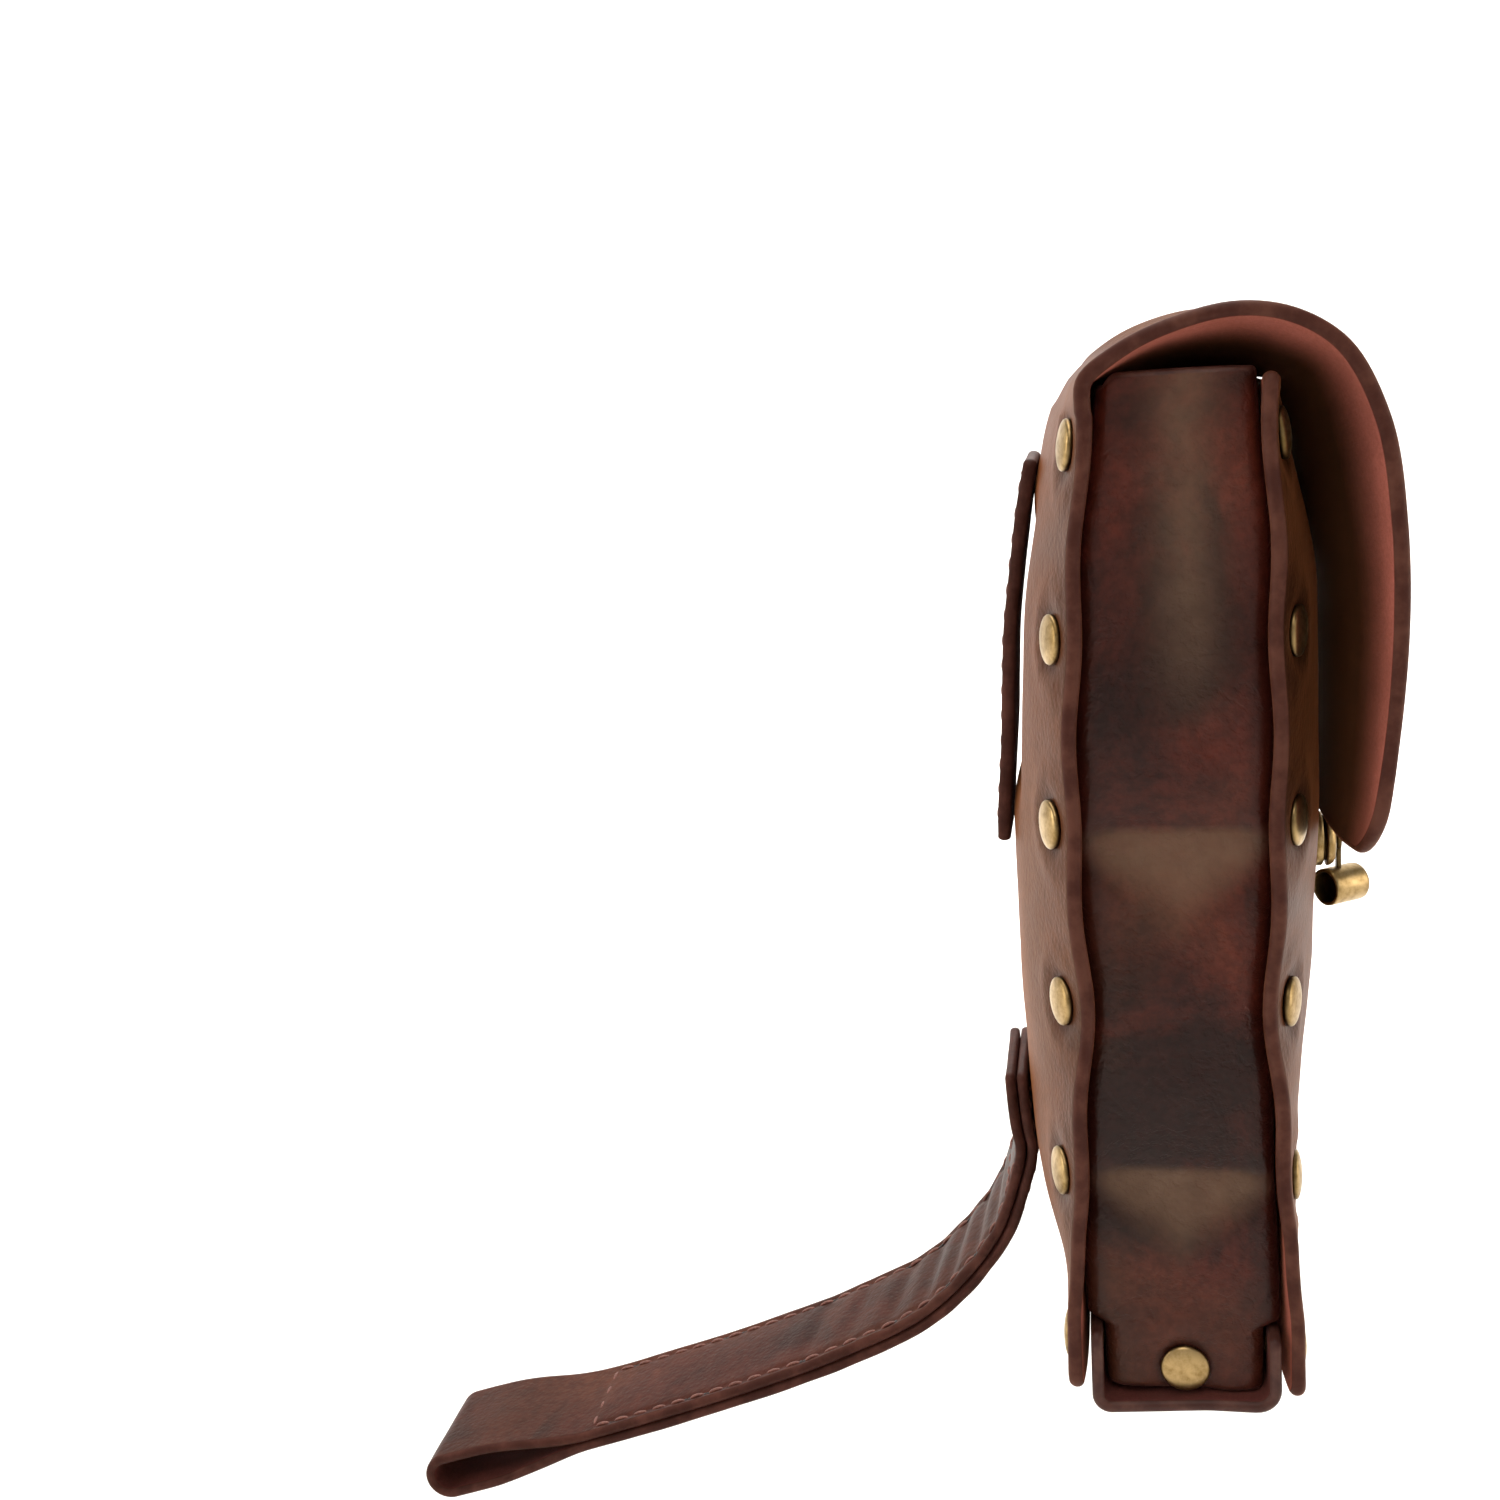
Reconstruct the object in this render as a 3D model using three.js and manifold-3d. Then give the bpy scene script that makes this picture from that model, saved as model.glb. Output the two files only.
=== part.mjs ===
// A brown leather belt pouch, in millimetres, +Z up, its front towards -Y.
// The origin is the middle of the belt loop's slot. The bag itself is drawn with z = 0 at its base.
import * as THREE from 'three';
import Module from 'manifold-3d';

// Driving dimensions of the bag
const WIDTH = 112;
const HALF_WIDTH = WIDTH / 2;
const PANEL_THICK = 2.6;
const GUSSET_THICK = 2.0;
const TRAY_THICK = 2.2;
const STRAP_THICK = 2.1;
const FIT_GAP = 0.3;
const FLANGE_GAP = 0.6;
const PANEL_BOTTOM = 2.5;
const FRONT_TOP = 187;
const FRONT_SCOOP = 2.5;
const GUSSET_TOP = 187.4;
const GUSSET_DOME = 0.8;
const GUSSET_DOME_SPAN = 22;
const GUSSET_BACK_DROP = 1.6;
const BACK_DROP_FROM_Y = 8.5;
const BACK_DROP_FULL_Y = 11.2;
const ARCH_START = 181;
const PANEL_CORNER = 4;
const FLAP_CORNER = 11;
const FLAP_SAG = 6;
// Columns of points across the panels
const PANEL_X = [-56, -42, -27.5, -21.5, -16, 0, 16, 21.5, 27.5, 42, 56];
const ROWS_PER_PITCH = 3;

// Edges of the two panels at each height: distance from the middle plane at the sides, and how far
// the middle of the panel bulges beyond its sides
const PANEL_ROWS = [
  { z: 2.5, backEdge: 19.9, frontEdge: 19.9, backCrown: 0, frontCrown: 0 },
  { z: 16, backEdge: 19.9, frontEdge: 19.9, backCrown: 0.6, frontCrown: 0 },
  { z: 30, backEdge: 19.6, frontEdge: 20.0, backCrown: 7.2, frontCrown: 0.6 },
  { z: 54, backEdge: 18.4, frontEdge: 18.4, backCrown: 10.6, frontCrown: 5.8 },
  { z: 78, backEdge: 16.9, frontEdge: 16.6, backCrown: 13.0, frontCrown: 11.2 },
  { z: 108, backEdge: 18.4, frontEdge: 17.8, backCrown: 11.4, frontCrown: 11.0 },
  { z: 145, backEdge: 17.4, frontEdge: 17.9, backCrown: 10.6, frontCrown: 10.8 },
  { z: 170, backEdge: 15.7, frontEdge: 17.5, backCrown: 7.0, frontCrown: 6.2 },
  { z: 181, backEdge: 14.9, frontEdge: 17.3, backCrown: 5.0, frontCrown: 3.2 },
  { z: 188, backEdge: 14.4, frontEdge: 17.2, backCrown: 0.2, frontCrown: 1.0 },
];

// Outer line of the arch and the flap at the sides, and how far their middle stands beyond it
const FLAP_ROWS = [
  { y: 14.6, z: 187.5, crown: 0.6 },
  { y: 9.8, z: 192.0, crown: -4.2 },
  { y: 2.2, z: 195.9, crown: -6.8 },
  { y: -10.3, z: 198.6, crown: -8.8 },
  { y: -20.1, z: 196.9, crown: -9.4 },
  { y: -28.6, z: 191.0, crown: -8.0 },
  { y: -34.8, z: 178.6, crown: -9.2 },
  { y: -37.4, z: 162.0, crown: -8.2 },
  { y: -37.9, z: 147.0, crown: -5.8 },
  { y: -37.2, z: 131.0, crown: -4.6 },
  { y: -35.4, z: 116.0, crown: -2.8 },
  { y: -32.2, z: 99.5, crown: -0.2 },
];
const FLAP_STEPS = 17;
const FLAP_CORNER_STEPS = 4;

// The side edges stand out a little between the rivets, are drawn in at them and flare at the base
const EDGE_WAVE = 0.5;
const EDGE_FLARE = 1;
const FLARE_TO = 16;
const FLARE_END = 32;
const WAVE_FROM = 20;
const WAVE_FULL = 40;

// Rivets: a domed cap, a shank through both layers of leather and a flat cap inside
const RIVET_PITCH = 33.2;
const RIVET_FIRST_Z = 10.5;
const RIVETS_PER_SIDE = 6;
const RIVET_INSET = 8.5;
const RIVET_MIDDLE_X = 17;
const RIVET_RADIUS = 4.5;
const RIVET_DOME = 1.5;
const RIVET_SHOULDER = 0.72;
const RIVET_SHANK = 1.5;
const RIVET_TAIL_RADIUS = 2.6;
const RIVET_TAIL_THICK = 0.9;
const RIVET_SEAT = 0.55;
const HOLE_RADIUS = 1.9;
const HOLE_REACH = 12;
const RIVET_SIDES = 8;
const HOLE_SIDES = 6;
const GUSSET_RIVET_Z = 7;

// Gussets: a face set back from the panels' edges, with a flange folded in along each panel
const GUSSET_RECESS = 3.5;
const GUSSET_FACE_X = HALF_WIDTH - GUSSET_RECESS;
const FLANGE_WIDTH = 14;
const FOLD_RADIUS = 4;
const FACE_STEPS = 5;
const FOLD_HALF_SPAN = 17;
// Folds across the gusset's face: height, depth inwards, and how far each reaches up and down
const GUSSET_FOLDS = [
  { z: 156, depth: 1.2, above: 26, below: 26 },
  { z: 109, depth: 4.2, above: 6, below: 15 },
  { z: 45, depth: 3.8, above: 5, below: 14 },
];

// Bottom tray: a channel with end tabs turned up behind the gussets
const TRAY_HALF_DEPTH = PANEL_ROWS[0].backEdge - PANEL_THICK - FIT_GAP;
const TRAY_HEIGHT = 15;
const TRAY_RADIUS = 4.6;
const TRAY_INNER_RADIUS = 0.8;
const TRAY_BACK_RADIUS = 3.4;
const TRAY_BACK_DROP = 1.2;
const TRAY_LEVEL_Y = -4;
const TAB_HALF_WIDTH = 11;
const TAB_BOTTOM = 1;

// Hollow in the back panel behind the belt loop, so that a belt has room under a loop that lies flat
const HOLLOW_DEPTH = 5.2;
const HOLLOW_FULL_X = 15.5;
const HOLLOW_END_X = 27;
const HOLLOW_LOW = { from: 102, full: 128 };
const HOLLOW_HIGH = { full: 146, to: 168 };

// Belt loop: how far its inner face stands off the back panel along its length
const LOOP_WIDTH = 28;
const LOOP_ROWS = [
  { z: 97.5, gap: 0.3 },
  { z: 104, gap: 0.4 },
  { z: 112, gap: 1.25 },
  { z: 122, gap: 3.9 },
  { z: 134, gap: 4.7 },
  { z: 146, gap: 4.2 },
  { z: 155, gap: 2.6 },
  { z: 164, gap: 0.5 },
  { z: 172, gap: 0.3 },
];
const LOOP_STEPS = 23;
const SLOT_MIDDLE = LOOP_ROWS[4];

// Leg strap: one strip folded in two; heights where it lies on the back, and then the line between
// its two layers
const STRAP_WIDTH = 28;
const STRAP_SEWN_HEIGHTS = [48, 42, 36.5, 31];
const STRAP_ROWS = [
  { y: 30.9, z: 24.5 },
  { y: 36.2, z: 10.5 },
  { y: 51, z: -6.8 },
  { y: 70, z: -17.8 },
  { y: 89, z: -26.2 },
  { y: 129, z: -41.0 },
  { y: 164.6, z: -52.4 },
];
const STRAP_STEPS = 29;
const STRAP_SLIT = 0.3;
const STRAP_LOOP_OPEN = 6.5;
const STRAP_LOOP_LENGTH = 36;
const STRAP_LOOP_FULL = 9;
const STRAP_TURN_STEPS = 6;

// Clasp: a two-disc stud with a pin along -Y, and a lever that hangs and turns on that pin
const CLASP_Z = 93.4;
const STUD_RADIUS = 5.5;
const STUD_BASE = 1.7;
const STUD_GROOVE = 0.5;
const STUD_CAP = 1.9;
const STUD_NECK_RADIUS = 4.6;
const STUD_CAP_RADIUS = 4.0;
const PIN_RADIUS = 0.8;
const PIN_LENGTH = 3.9;
const PIN_HEAD_RADIUS = 1.6;
const PIN_HEAD = 0.8;
const STUD_SIDES = 12;
const EYE_RADIUS = 2.4;
const EYE_HOLE = 1.1;
const LINK_HALF_WIDTH = 1.4;
const LINK_THICK = 0.9;
const LINK_OVERLAP = 0.4;
const BARREL_DROP = 9.55;
const BARREL_MIDDLE = 6;
const BARREL_RADIUS = 3.75;
const BARREL_LENGTH = 8.8;
const BARREL_ROUND = 1.0;
const BARREL_EASE = 0.3;
const BARREL_WALL = 0.7;
const BARREL_RECESS = 2.5;
const BARREL_TURN = THREE.MathUtils.degToRad(35);
const BARREL_SIDES = 14;

const LEATHER = { color: 0x3b2018, roughness: 0.45, metalness: 0 };
const GUSSET_LEATHER = { color: 0x391b18, roughness: 0.42, metalness: 0 };
const STRAP_LEATHER = { color: 0x40221b, roughness: 0.48, metalness: 0 };
const ANTIQUE_BRASS = { color: 0xa58544, roughness: 0.32, metalness: 1 };

const wasm = await Module();
wasm.setup();

// Smooth value of one column of a table at a height, flat where the column turns round
function column(rows, key) {
  const slopes = rows.slice(1).map((row, i) => (row[key] - rows[i][key]) / (row.z - rows[i].z));
  const tangents = rows.map((row, i) => {
    const before = slopes[i - 1] ?? slopes[i];
    const after = slopes[i] ?? slopes[i - 1];
    return before * after <= 0 ? 0 : (2 * before * after) / (before + after);
  });
  return (z) => {
    const last = rows.length - 2;
    const found = rows.findIndex((row, i) => i <= last && z <= rows[i + 1].z);
    const i = found < 0 ? last : found;
    const span = rows[i + 1].z - rows[i].z;
    const t = THREE.MathUtils.clamp((z - rows[i].z) / span, 0, 1);
    const h = t * t * (3 - 2 * t);
    const rise = t * (1 - t) * ((1 - t) * tangents[i] - t * tangents[i + 1]) * span;
    return rows[i][key] * (1 - h) + rows[i + 1][key] * h + rise;
  };
}

const backEdge = column(PANEL_ROWS, 'backEdge');
const frontEdge = column(PANEL_ROWS, 'frontEdge');
const backCrown = column(PANEL_ROWS, 'backCrown');
const frontCrown = column(PANEL_ROWS, 'frontCrown');

function bulge(x) {
  return 1 - (x / HALF_WIDTH) ** 2;
}

function edgeWave(x, z) {
  const nearEdge = Math.abs(x / HALF_WIDTH) ** 6;
  const turn = (2 * Math.PI * (z - RIVET_FIRST_Z)) / RIVET_PITCH;
  const wave = -EDGE_WAVE * Math.cos(turn) * THREE.MathUtils.smoothstep(z, WAVE_FROM, WAVE_FULL);
  const flare = EDGE_FLARE * (1 - THREE.MathUtils.smoothstep(z, FLARE_TO, FLARE_END));
  return nearEdge * (wave + flare);
}

function loopHollow(x, z) {
  const { smoothstep } = THREE.MathUtils;
  const begins = smoothstep(z, HOLLOW_LOW.from, HOLLOW_LOW.full);
  const ends = smoothstep(z, HOLLOW_HIGH.full, HOLLOW_HIGH.to);
  const across = 1 - smoothstep(Math.abs(x), HOLLOW_FULL_X, HOLLOW_END_X);
  return HOLLOW_DEPTH * (begins - ends) * across;
}

// Outer faces of the back and front panels
function backFace(x, z) {
  const y = backEdge(z) + backCrown(z) * bulge(x) + edgeWave(x, z) - loopHollow(x, z);
  return new THREE.Vector3(x, y, z);
}

function frontFace(x, z) {
  return new THREE.Vector3(x, -(frontEdge(z) + frontCrown(z) * bulge(x) + edgeWave(x, z)), z);
}

function faceNormal(face, x, z) {
  const step = 0.5;
  const along = face(x + step, z).sub(face(x - step, z));
  const up = face(x, z + step).sub(face(x, z - step));
  const normal = along.cross(up).normalize();
  return face === backFace ? normal.negate() : normal;
}

// The point at the same place across and up, on the surface that lies a distance under a panel's face
function under(face, x, z, distance) {
  const point = face(x, z);
  point.y -= distance / faceNormal(face, x, z).y;
  return point;
}

// A closed wall whose outer face is a grid of points, with its thickness laid inwards
function wall(grid, thickness) {
  const rows = grid.length;
  const columns = grid[0].length;
  const clamp = THREE.MathUtils.clamp;
  const at = (r, c) => grid[clamp(r, 0, rows - 1)][clamp(c, 0, columns - 1)];
  const outer = [];
  const inner = [];
  for (let r = 0; r < rows; r += 1) {
    for (let c = 0; c < columns; c += 1) {
      const across = at(r, c + 1).clone().sub(at(r, c - 1));
      const along = at(r + 1, c).clone().sub(at(r - 1, c));
      const normal = across.cross(along).normalize();
      outer.push(grid[r][c]);
      inner.push(grid[r][c].clone().addScaledVector(normal, -thickness));
    }
  }
  const count = rows * columns;
  const id = (r, c) => r * columns + c;
  const index = [];
  for (let r = 0; r < rows - 1; r += 1) {
    for (let c = 0; c < columns - 1; c += 1) {
      const [a, b, d, e] = [id(r, c), id(r, c + 1), id(r + 1, c), id(r + 1, c + 1)];
      index.push(a, b, e, a, e, d);
      index.push(count + a, count + e, count + b, count + a, count + d, count + e);
    }
  }
  const rim = [];
  for (let c = 0; c < columns - 1; c += 1) rim.push(id(0, c));
  for (let r = 0; r < rows - 1; r += 1) rim.push(id(r, columns - 1));
  for (let c = columns - 1; c > 0; c -= 1) rim.push(id(rows - 1, c));
  for (let r = rows - 1; r > 0; r -= 1) rim.push(id(r, 0));
  rim.forEach((a, i) => {
    const b = rim[(i + 1) % rim.length];
    index.push(a, count + b, b, a, count + a, count + b);
  });
  const geometry = new THREE.BufferGeometry();
  const coordinates = [...outer, ...inner].flatMap((point) => point.toArray());
  geometry.setAttribute('position', new THREE.Float32BufferAttribute(coordinates, 3));
  geometry.setIndex(index);
  return geometry;
}

// Joining and cutting of closed geometries
function solid(geometry) {
  const keys = new Map();
  const position = geometry.attributes.position;
  const vertProperties = [];
  const ids = [];
  for (let i = 0; i < position.count; i += 1) {
    const point = [position.getX(i), position.getY(i), position.getZ(i)];
    const key = point.map((value) => Math.round(value * 1e4)).join(',');
    if (!keys.has(key)) {
      keys.set(key, keys.size);
      vertProperties.push(...point);
    }
    ids.push(keys.get(key));
  }
  const order = geometry.index ? Array.from(geometry.index.array, (i) => ids[i]) : ids;
  const triVerts = [];
  for (let i = 0; i < order.length; i += 3) {
    const [a, b, c] = order.slice(i, i + 3);
    if (a !== b && b !== c && a !== c) triVerts.push(a, b, c);
  }
  return new wasm.Manifold(new wasm.Mesh({
    numProp: 3,
    vertProperties: new Float32Array(vertProperties),
    triVerts: new Uint32Array(triVerts),
  }));
}

function geometryOf(manifold) {
  const mesh = manifold.getMesh();
  const geometry = new THREE.BufferGeometry();
  geometry.setAttribute('position', new THREE.BufferAttribute(new Float32Array(mesh.vertProperties), 3));
  geometry.setIndex(new THREE.BufferAttribute(new Uint32Array(mesh.triVerts), 1));
  return geometry;
}

function cut(manifold, geometries) {
  return geometries.reduce((rest, geometry) => rest.subtract(solid(geometry)), manifold);
}

function block(x0, x1, y0, y1, z0, z1) {
  const geometry = new THREE.BoxGeometry(x1 - x0, y1 - y0, z1 - z0);
  return geometry.translate((x0 + x1) / 2, (y0 + y1) / 2, (z0 + z1) / 2);
}

function mirrored(geometry) {
  const copy = geometry.clone().scale(-1, 1, 1);
  const index = Array.from(copy.index.array);
  for (let i = 0; i < index.length; i += 3) [index[i + 1], index[i + 2]] = [index[i + 2], index[i + 1]];
  copy.setIndex(index);
  return copy;
}

// A drawing in the YZ plane, drawn out evenly to both sides along X
function drawnOut(shape, width, curveSegments) {
  const geometry = new THREE.ExtrudeGeometry(shape, { depth: width, bevelEnabled: false, curveSegments });
  geometry.translate(0, 0, -width / 2);
  const axes = new THREE.Matrix4();
  axes.makeBasis(new THREE.Vector3(0, 1, 0), new THREE.Vector3(0, 0, 1), new THREE.Vector3(1, 0, 0));
  return geometry.applyMatrix4(axes);
}

// A turned piece whose axis leaves a face along a direction
function turned(profile, sides, place, direction) {
  const points = profile.map(([radius, height]) => new THREE.Vector2(radius, height));
  const geometry = new THREE.LatheGeometry(points, sides);
  const turn = new THREE.Quaternion().setFromUnitVectors(new THREE.Vector3(0, 1, 0), direction);
  return geometry.applyQuaternion(turn).translate(place.x, place.y, place.z);
}

// Places of the rivets on the two panels and at the foot of the gussets
function rivetPlaces() {
  const places = [];
  const sideX = HALF_WIDTH - RIVET_INSET;
  for (const [panel, face] of [['back', backFace], ['front', frontFace]]) {
    const add = (name, x, z, onTray) => places.push({
      name: `rivet_${panel}_${name}`,
      panel,
      seat: face(x, z),
      normal: faceNormal(face, x, z),
      stack: PANEL_THICK + (onTray ? FIT_GAP + TRAY_THICK : FLANGE_GAP + GUSSET_THICK),
    });
    for (let k = 0; k < RIVETS_PER_SIDE; k += 1) {
      add(`left_${k + 1}`, -sideX, RIVET_FIRST_Z + k * RIVET_PITCH, k === 0);
      add(`right_${k + 1}`, sideX, RIVET_FIRST_Z + k * RIVET_PITCH, k === 0);
    }
    add('base_left', -RIVET_MIDDLE_X, RIVET_FIRST_Z, true);
    add('base_right', RIVET_MIDDLE_X, RIVET_FIRST_Z, true);
  }
  for (const [name, side] of [['left', -1], ['right', 1]]) {
    places.push({
      name: `rivet_gusset_${name}`,
      panel: name,
      seat: new THREE.Vector3(side * GUSSET_FACE_X, 0, GUSSET_RIVET_Z),
      normal: new THREE.Vector3(side, 0, 0),
      stack: GUSSET_THICK + FIT_GAP + TRAY_THICK,
    });
  }
  return places;
}

const RIVETS = rivetPlaces();

function rivet({ seat, normal, stack }) {
  const tailTop = -(stack + RIVET_SEAT);
  const profile = [
    [0, tailTop - RIVET_TAIL_THICK],
    [RIVET_TAIL_RADIUS, tailTop - RIVET_TAIL_THICK / 2],
    [RIVET_SHANK, tailTop],
    [RIVET_SHANK, RIVET_SEAT],
    [RIVET_RADIUS, RIVET_SEAT],
    [RIVET_RADIUS * RIVET_SHOULDER, RIVET_SEAT + RIVET_DOME * RIVET_SHOULDER],
    [0, RIVET_SEAT + RIVET_DOME],
  ];
  return geometryOf(solid(turned(profile, RIVET_SIDES, seat, normal)));
}

function hole({ seat, normal }) {
  const profile = [
    [0, -HOLE_REACH],
    [HOLE_RADIUS, -HOLE_REACH],
    [HOLE_RADIUS, HOLE_REACH],
    [0, HOLE_REACH],
  ];
  return turned(profile, HOLE_SIDES, seat, normal);
}

// Distances from an end where a rounded corner takes a row, the corner's own rows close together
function cornerRows(radius, steps) {
  return Array.from({ length: steps }, (_, i) => radius * (1 - Math.cos((i / steps) * (Math.PI / 2))));
}

function cornerInset(radius, fromEnd) {
  if (fromEnd >= radius) return 0;
  return radius - Math.sqrt(radius * radius - (radius - fromEnd) ** 2);
}

// Heights of the rows of a panel, with a row at each rivet and one where the panel leaves the tray
function panelHeights(top) {
  const heights = cornerRows(PANEL_CORNER, 2).map((fromEnd) => PANEL_BOTTOM + fromEnd);
  heights.push(PANEL_ROWS[1].z);
  const step = RIVET_PITCH / ROWS_PER_PITCH;
  for (let z = RIVET_FIRST_Z; z < top - step / 2; z += step) heights.push(z);
  heights.push(top);
  return heights.sort((a, b) => a - b);
}

function panelRow(face, z, side) {
  const reach = HALF_WIDTH - cornerInset(PANEL_CORNER, z - PANEL_BOTTOM);
  return PANEL_X.map((x) => face((side * reach * x) / HALF_WIDTH, z));
}

// Back panel, arch and flap: one piece of leather
function backFlap() {
  const grid = panelHeights(ARCH_START).map((z) => panelRow(backFace, z, -1));
  const start = new THREE.Vector3(backCrown(ARCH_START), backEdge(ARCH_START), ARCH_START);
  const points = [start, ...FLAP_ROWS.map((row) => new THREE.Vector3(row.crown, row.y, row.z))];
  const line = new THREE.CatmullRomCurve3(points, false, 'centripetal');
  const length = line.getLength();
  const step = (length - FLAP_CORNER) / (FLAP_STEPS + 0.5);
  const plain = Array.from({ length: FLAP_STEPS }, (_, i) => (i + 1) * step);
  const corner = cornerRows(FLAP_CORNER, FLAP_CORNER_STEPS).reverse().map((fromEnd) => length - fromEnd);
  for (const distance of [...plain, ...corner]) {
    const reach = HALF_WIDTH - cornerInset(FLAP_CORNER, length - distance);
    const row = [];
    for (const across of PANEL_X) {
      const x = (-reach * across) / HALF_WIDTH;
      const shorter = FLAP_SAG * (x / HALF_WIDTH) ** 2 * (distance / length) ** 4;
      const u = (distance - shorter) / length;
      const point = line.getPointAt(u);
      const along = line.getTangentAt(u);
      const out = new THREE.Vector2(along.z, -along.y).normalize();
      const crown = point.x * bulge(x);
      row.push(new THREE.Vector3(x, point.y + out.x * crown, point.z + out.y * crown));
    }
    grid.push(row);
  }
  const holes = RIVETS.filter((place) => place.panel === 'back').map(hole);
  return geometryOf(cut(solid(wall(grid, PANEL_THICK)), holes));
}

function frontPanel() {
  const grid = panelHeights(FRONT_TOP).map((z) => panelRow(frontFace, z, 1));
  grid.at(-1).forEach((point) => point.copy(frontFace(point.x, FRONT_TOP - FRONT_SCOOP * bulge(point.x))));
  const holes = RIVETS.filter((place) => place.panel === 'front').map(hole);
  const studHole = hole({ seat: STUD_SEAT, normal: OUTWARDS });
  return geometryOf(cut(solid(wall(grid, PANEL_THICK)), [...holes, studHole]));
}

// Depth of the folds in a gusset's face
function foldDepth(y, z) {
  const acrossFace = Math.cos(THREE.MathUtils.clamp(y / FOLD_HALF_SPAN, -1, 1) * (Math.PI / 2));
  return GUSSET_FOLDS.reduce((sum, fold) => {
    const reach = z > fold.z ? fold.above : fold.below;
    return sum + fold.depth * acrossFace * Math.exp(-(((z - fold.z) / reach) ** 2));
  }, 0);
}

function gussetRow(z) {
  const inset = PANEL_THICK + FLANGE_GAP;
  const bend = -(GUSSET_FACE_X - FOLD_RADIUS);
  const tip = -(GUSSET_FACE_X - FLANGE_WIDTH);
  const [backTip, backBend] = [under(backFace, tip, z, inset), under(backFace, bend, z, inset)];
  const [frontTip, frontBend] = [under(frontFace, tip, z, inset), under(frontFace, bend, z, inset)];
  const onFace = (y) => new THREE.Vector3(-GUSSET_FACE_X + foldDepth(y, z), y, z);
  const backCorner = under(backFace, -GUSSET_FACE_X, z, inset);
  const frontCorner = under(frontFace, -GUSSET_FACE_X, z, inset);
  const backY = backCorner.y - FOLD_RADIUS;
  const frontY = frontCorner.y + FOLD_RADIUS;
  const backFold = new THREE.QuadraticBezierCurve3(backBend, backCorner, onFace(backY)).getPoints(2);
  const frontFold = new THREE.QuadraticBezierCurve3(onFace(frontY), frontCorner, frontBend).getPoints(2);
  const face = [];
  for (let i = 1; i < FACE_STEPS; i += 1) {
    face.push(onFace(THREE.MathUtils.lerp(backY, frontY, i / FACE_STEPS)));
  }
  return [backTip, ...backFold, ...face, ...frontFold, frontTip];
}

function gussetLeft() {
  const heights = panelHeights(GUSSET_TOP);
  const grid = heights.map(gussetRow);
  grid.at(-1).forEach((point) => {
    const underArch = THREE.MathUtils.smoothstep(point.y, BACK_DROP_FROM_Y, BACK_DROP_FULL_Y);
    const dome = GUSSET_DOME * (1 - (point.y / GUSSET_DOME_SPAN) ** 2);
    point.z += dome - GUSSET_BACK_DROP * underArch;
  });
  const clear = TRAY_HALF_DEPTH - TRAY_THICK - FIT_GAP;
  const [reach, high] = [HALF_WIDTH, TRAY_HEIGHT + FIT_GAP];
  const tray = [block(-reach, 0, clear, WIDTH, 0, high), block(-reach, 0, -WIDTH, -clear, 0, high)];
  const onFlange = (place) => place.name.includes('_left_') && !place.name.endsWith('_1');
  const holes = RIVETS.filter((place) => place.panel === 'left' || onFlange(place)).map(hole);
  return geometryOf(cut(solid(wall(grid, GUSSET_THICK)), [...tray, ...holes]));
}

function bottomTray() {
  const [outer, top, radius] = [TRAY_HALF_DEPTH, TRAY_HEIGHT, TRAY_RADIUS];
  const inner = outer - TRAY_THICK;
  const bend = TRAY_INNER_RADIUS;
  const shape = new THREE.Shape();
  shape.moveTo(-outer, top);
  shape.lineTo(-outer, radius);
  shape.absarc(-outer + radius, radius, radius, Math.PI, Math.PI * 1.5, false);
  shape.lineTo(TRAY_LEVEL_Y, 0);
  const [turn, low] = [TRAY_BACK_RADIUS, -TRAY_BACK_DROP];
  shape.lineTo(outer - turn, low);
  shape.absarc(outer - turn, low + turn, turn, Math.PI * 1.5, Math.PI * 2, false);
  shape.lineTo(outer, top);
  shape.lineTo(inner, top);
  shape.lineTo(inner, low + TRAY_THICK + bend);
  shape.absarc(inner - bend, low + TRAY_THICK + bend, bend, 0, -Math.PI * 0.5, true);
  shape.lineTo(TRAY_LEVEL_Y, TRAY_THICK);
  shape.lineTo(-inner + bend, TRAY_THICK);
  shape.absarc(-inner + bend, TRAY_THICK + bend, bend, Math.PI * 1.5, Math.PI, true);
  shape.lineTo(-inner, top);
  const tabX = GUSSET_FACE_X - GUSSET_THICK - FIT_GAP;
  const tab = block(-tabX, -tabX + TRAY_THICK, -TAB_HALF_WIDTH, TAB_HALF_WIDTH, TAB_BOTTOM, top);
  const channel = solid(drawnOut(shape, WIDTH, 3)).add(solid(tab)).add(solid(mirrored(tab)));
  const holes = RIVETS.filter((place) => place.seat.z < TRAY_HEIGHT).map(hole);
  return geometryOf(cut(channel, holes));
}

function beltLoop() {
  const gap = column(LOOP_ROWS, 'gap');
  const [low, high] = [LOOP_ROWS[0].z, LOOP_ROWS.at(-1).z];
  const inner = Array.from({ length: LOOP_STEPS + 1 }, (_, i) => {
    const z = THREE.MathUtils.lerp(low, high, i / LOOP_STEPS);
    return new THREE.Vector2(backFace(0, z).y + gap(z), z);
  });
  const outer = inner.map((point, i) => {
    const next = inner[Math.min(i + 1, LOOP_STEPS)];
    const last = inner[Math.max(i - 1, 0)];
    const along = next.clone().sub(last).normalize();
    return new THREE.Vector2(point.x + along.y * STRAP_THICK, point.y - along.x * STRAP_THICK);
  });
  return geometryOf(solid(drawnOut(new THREE.Shape([...inner, ...outer.reverse()]), LOOP_WIDTH)));
}

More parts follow.
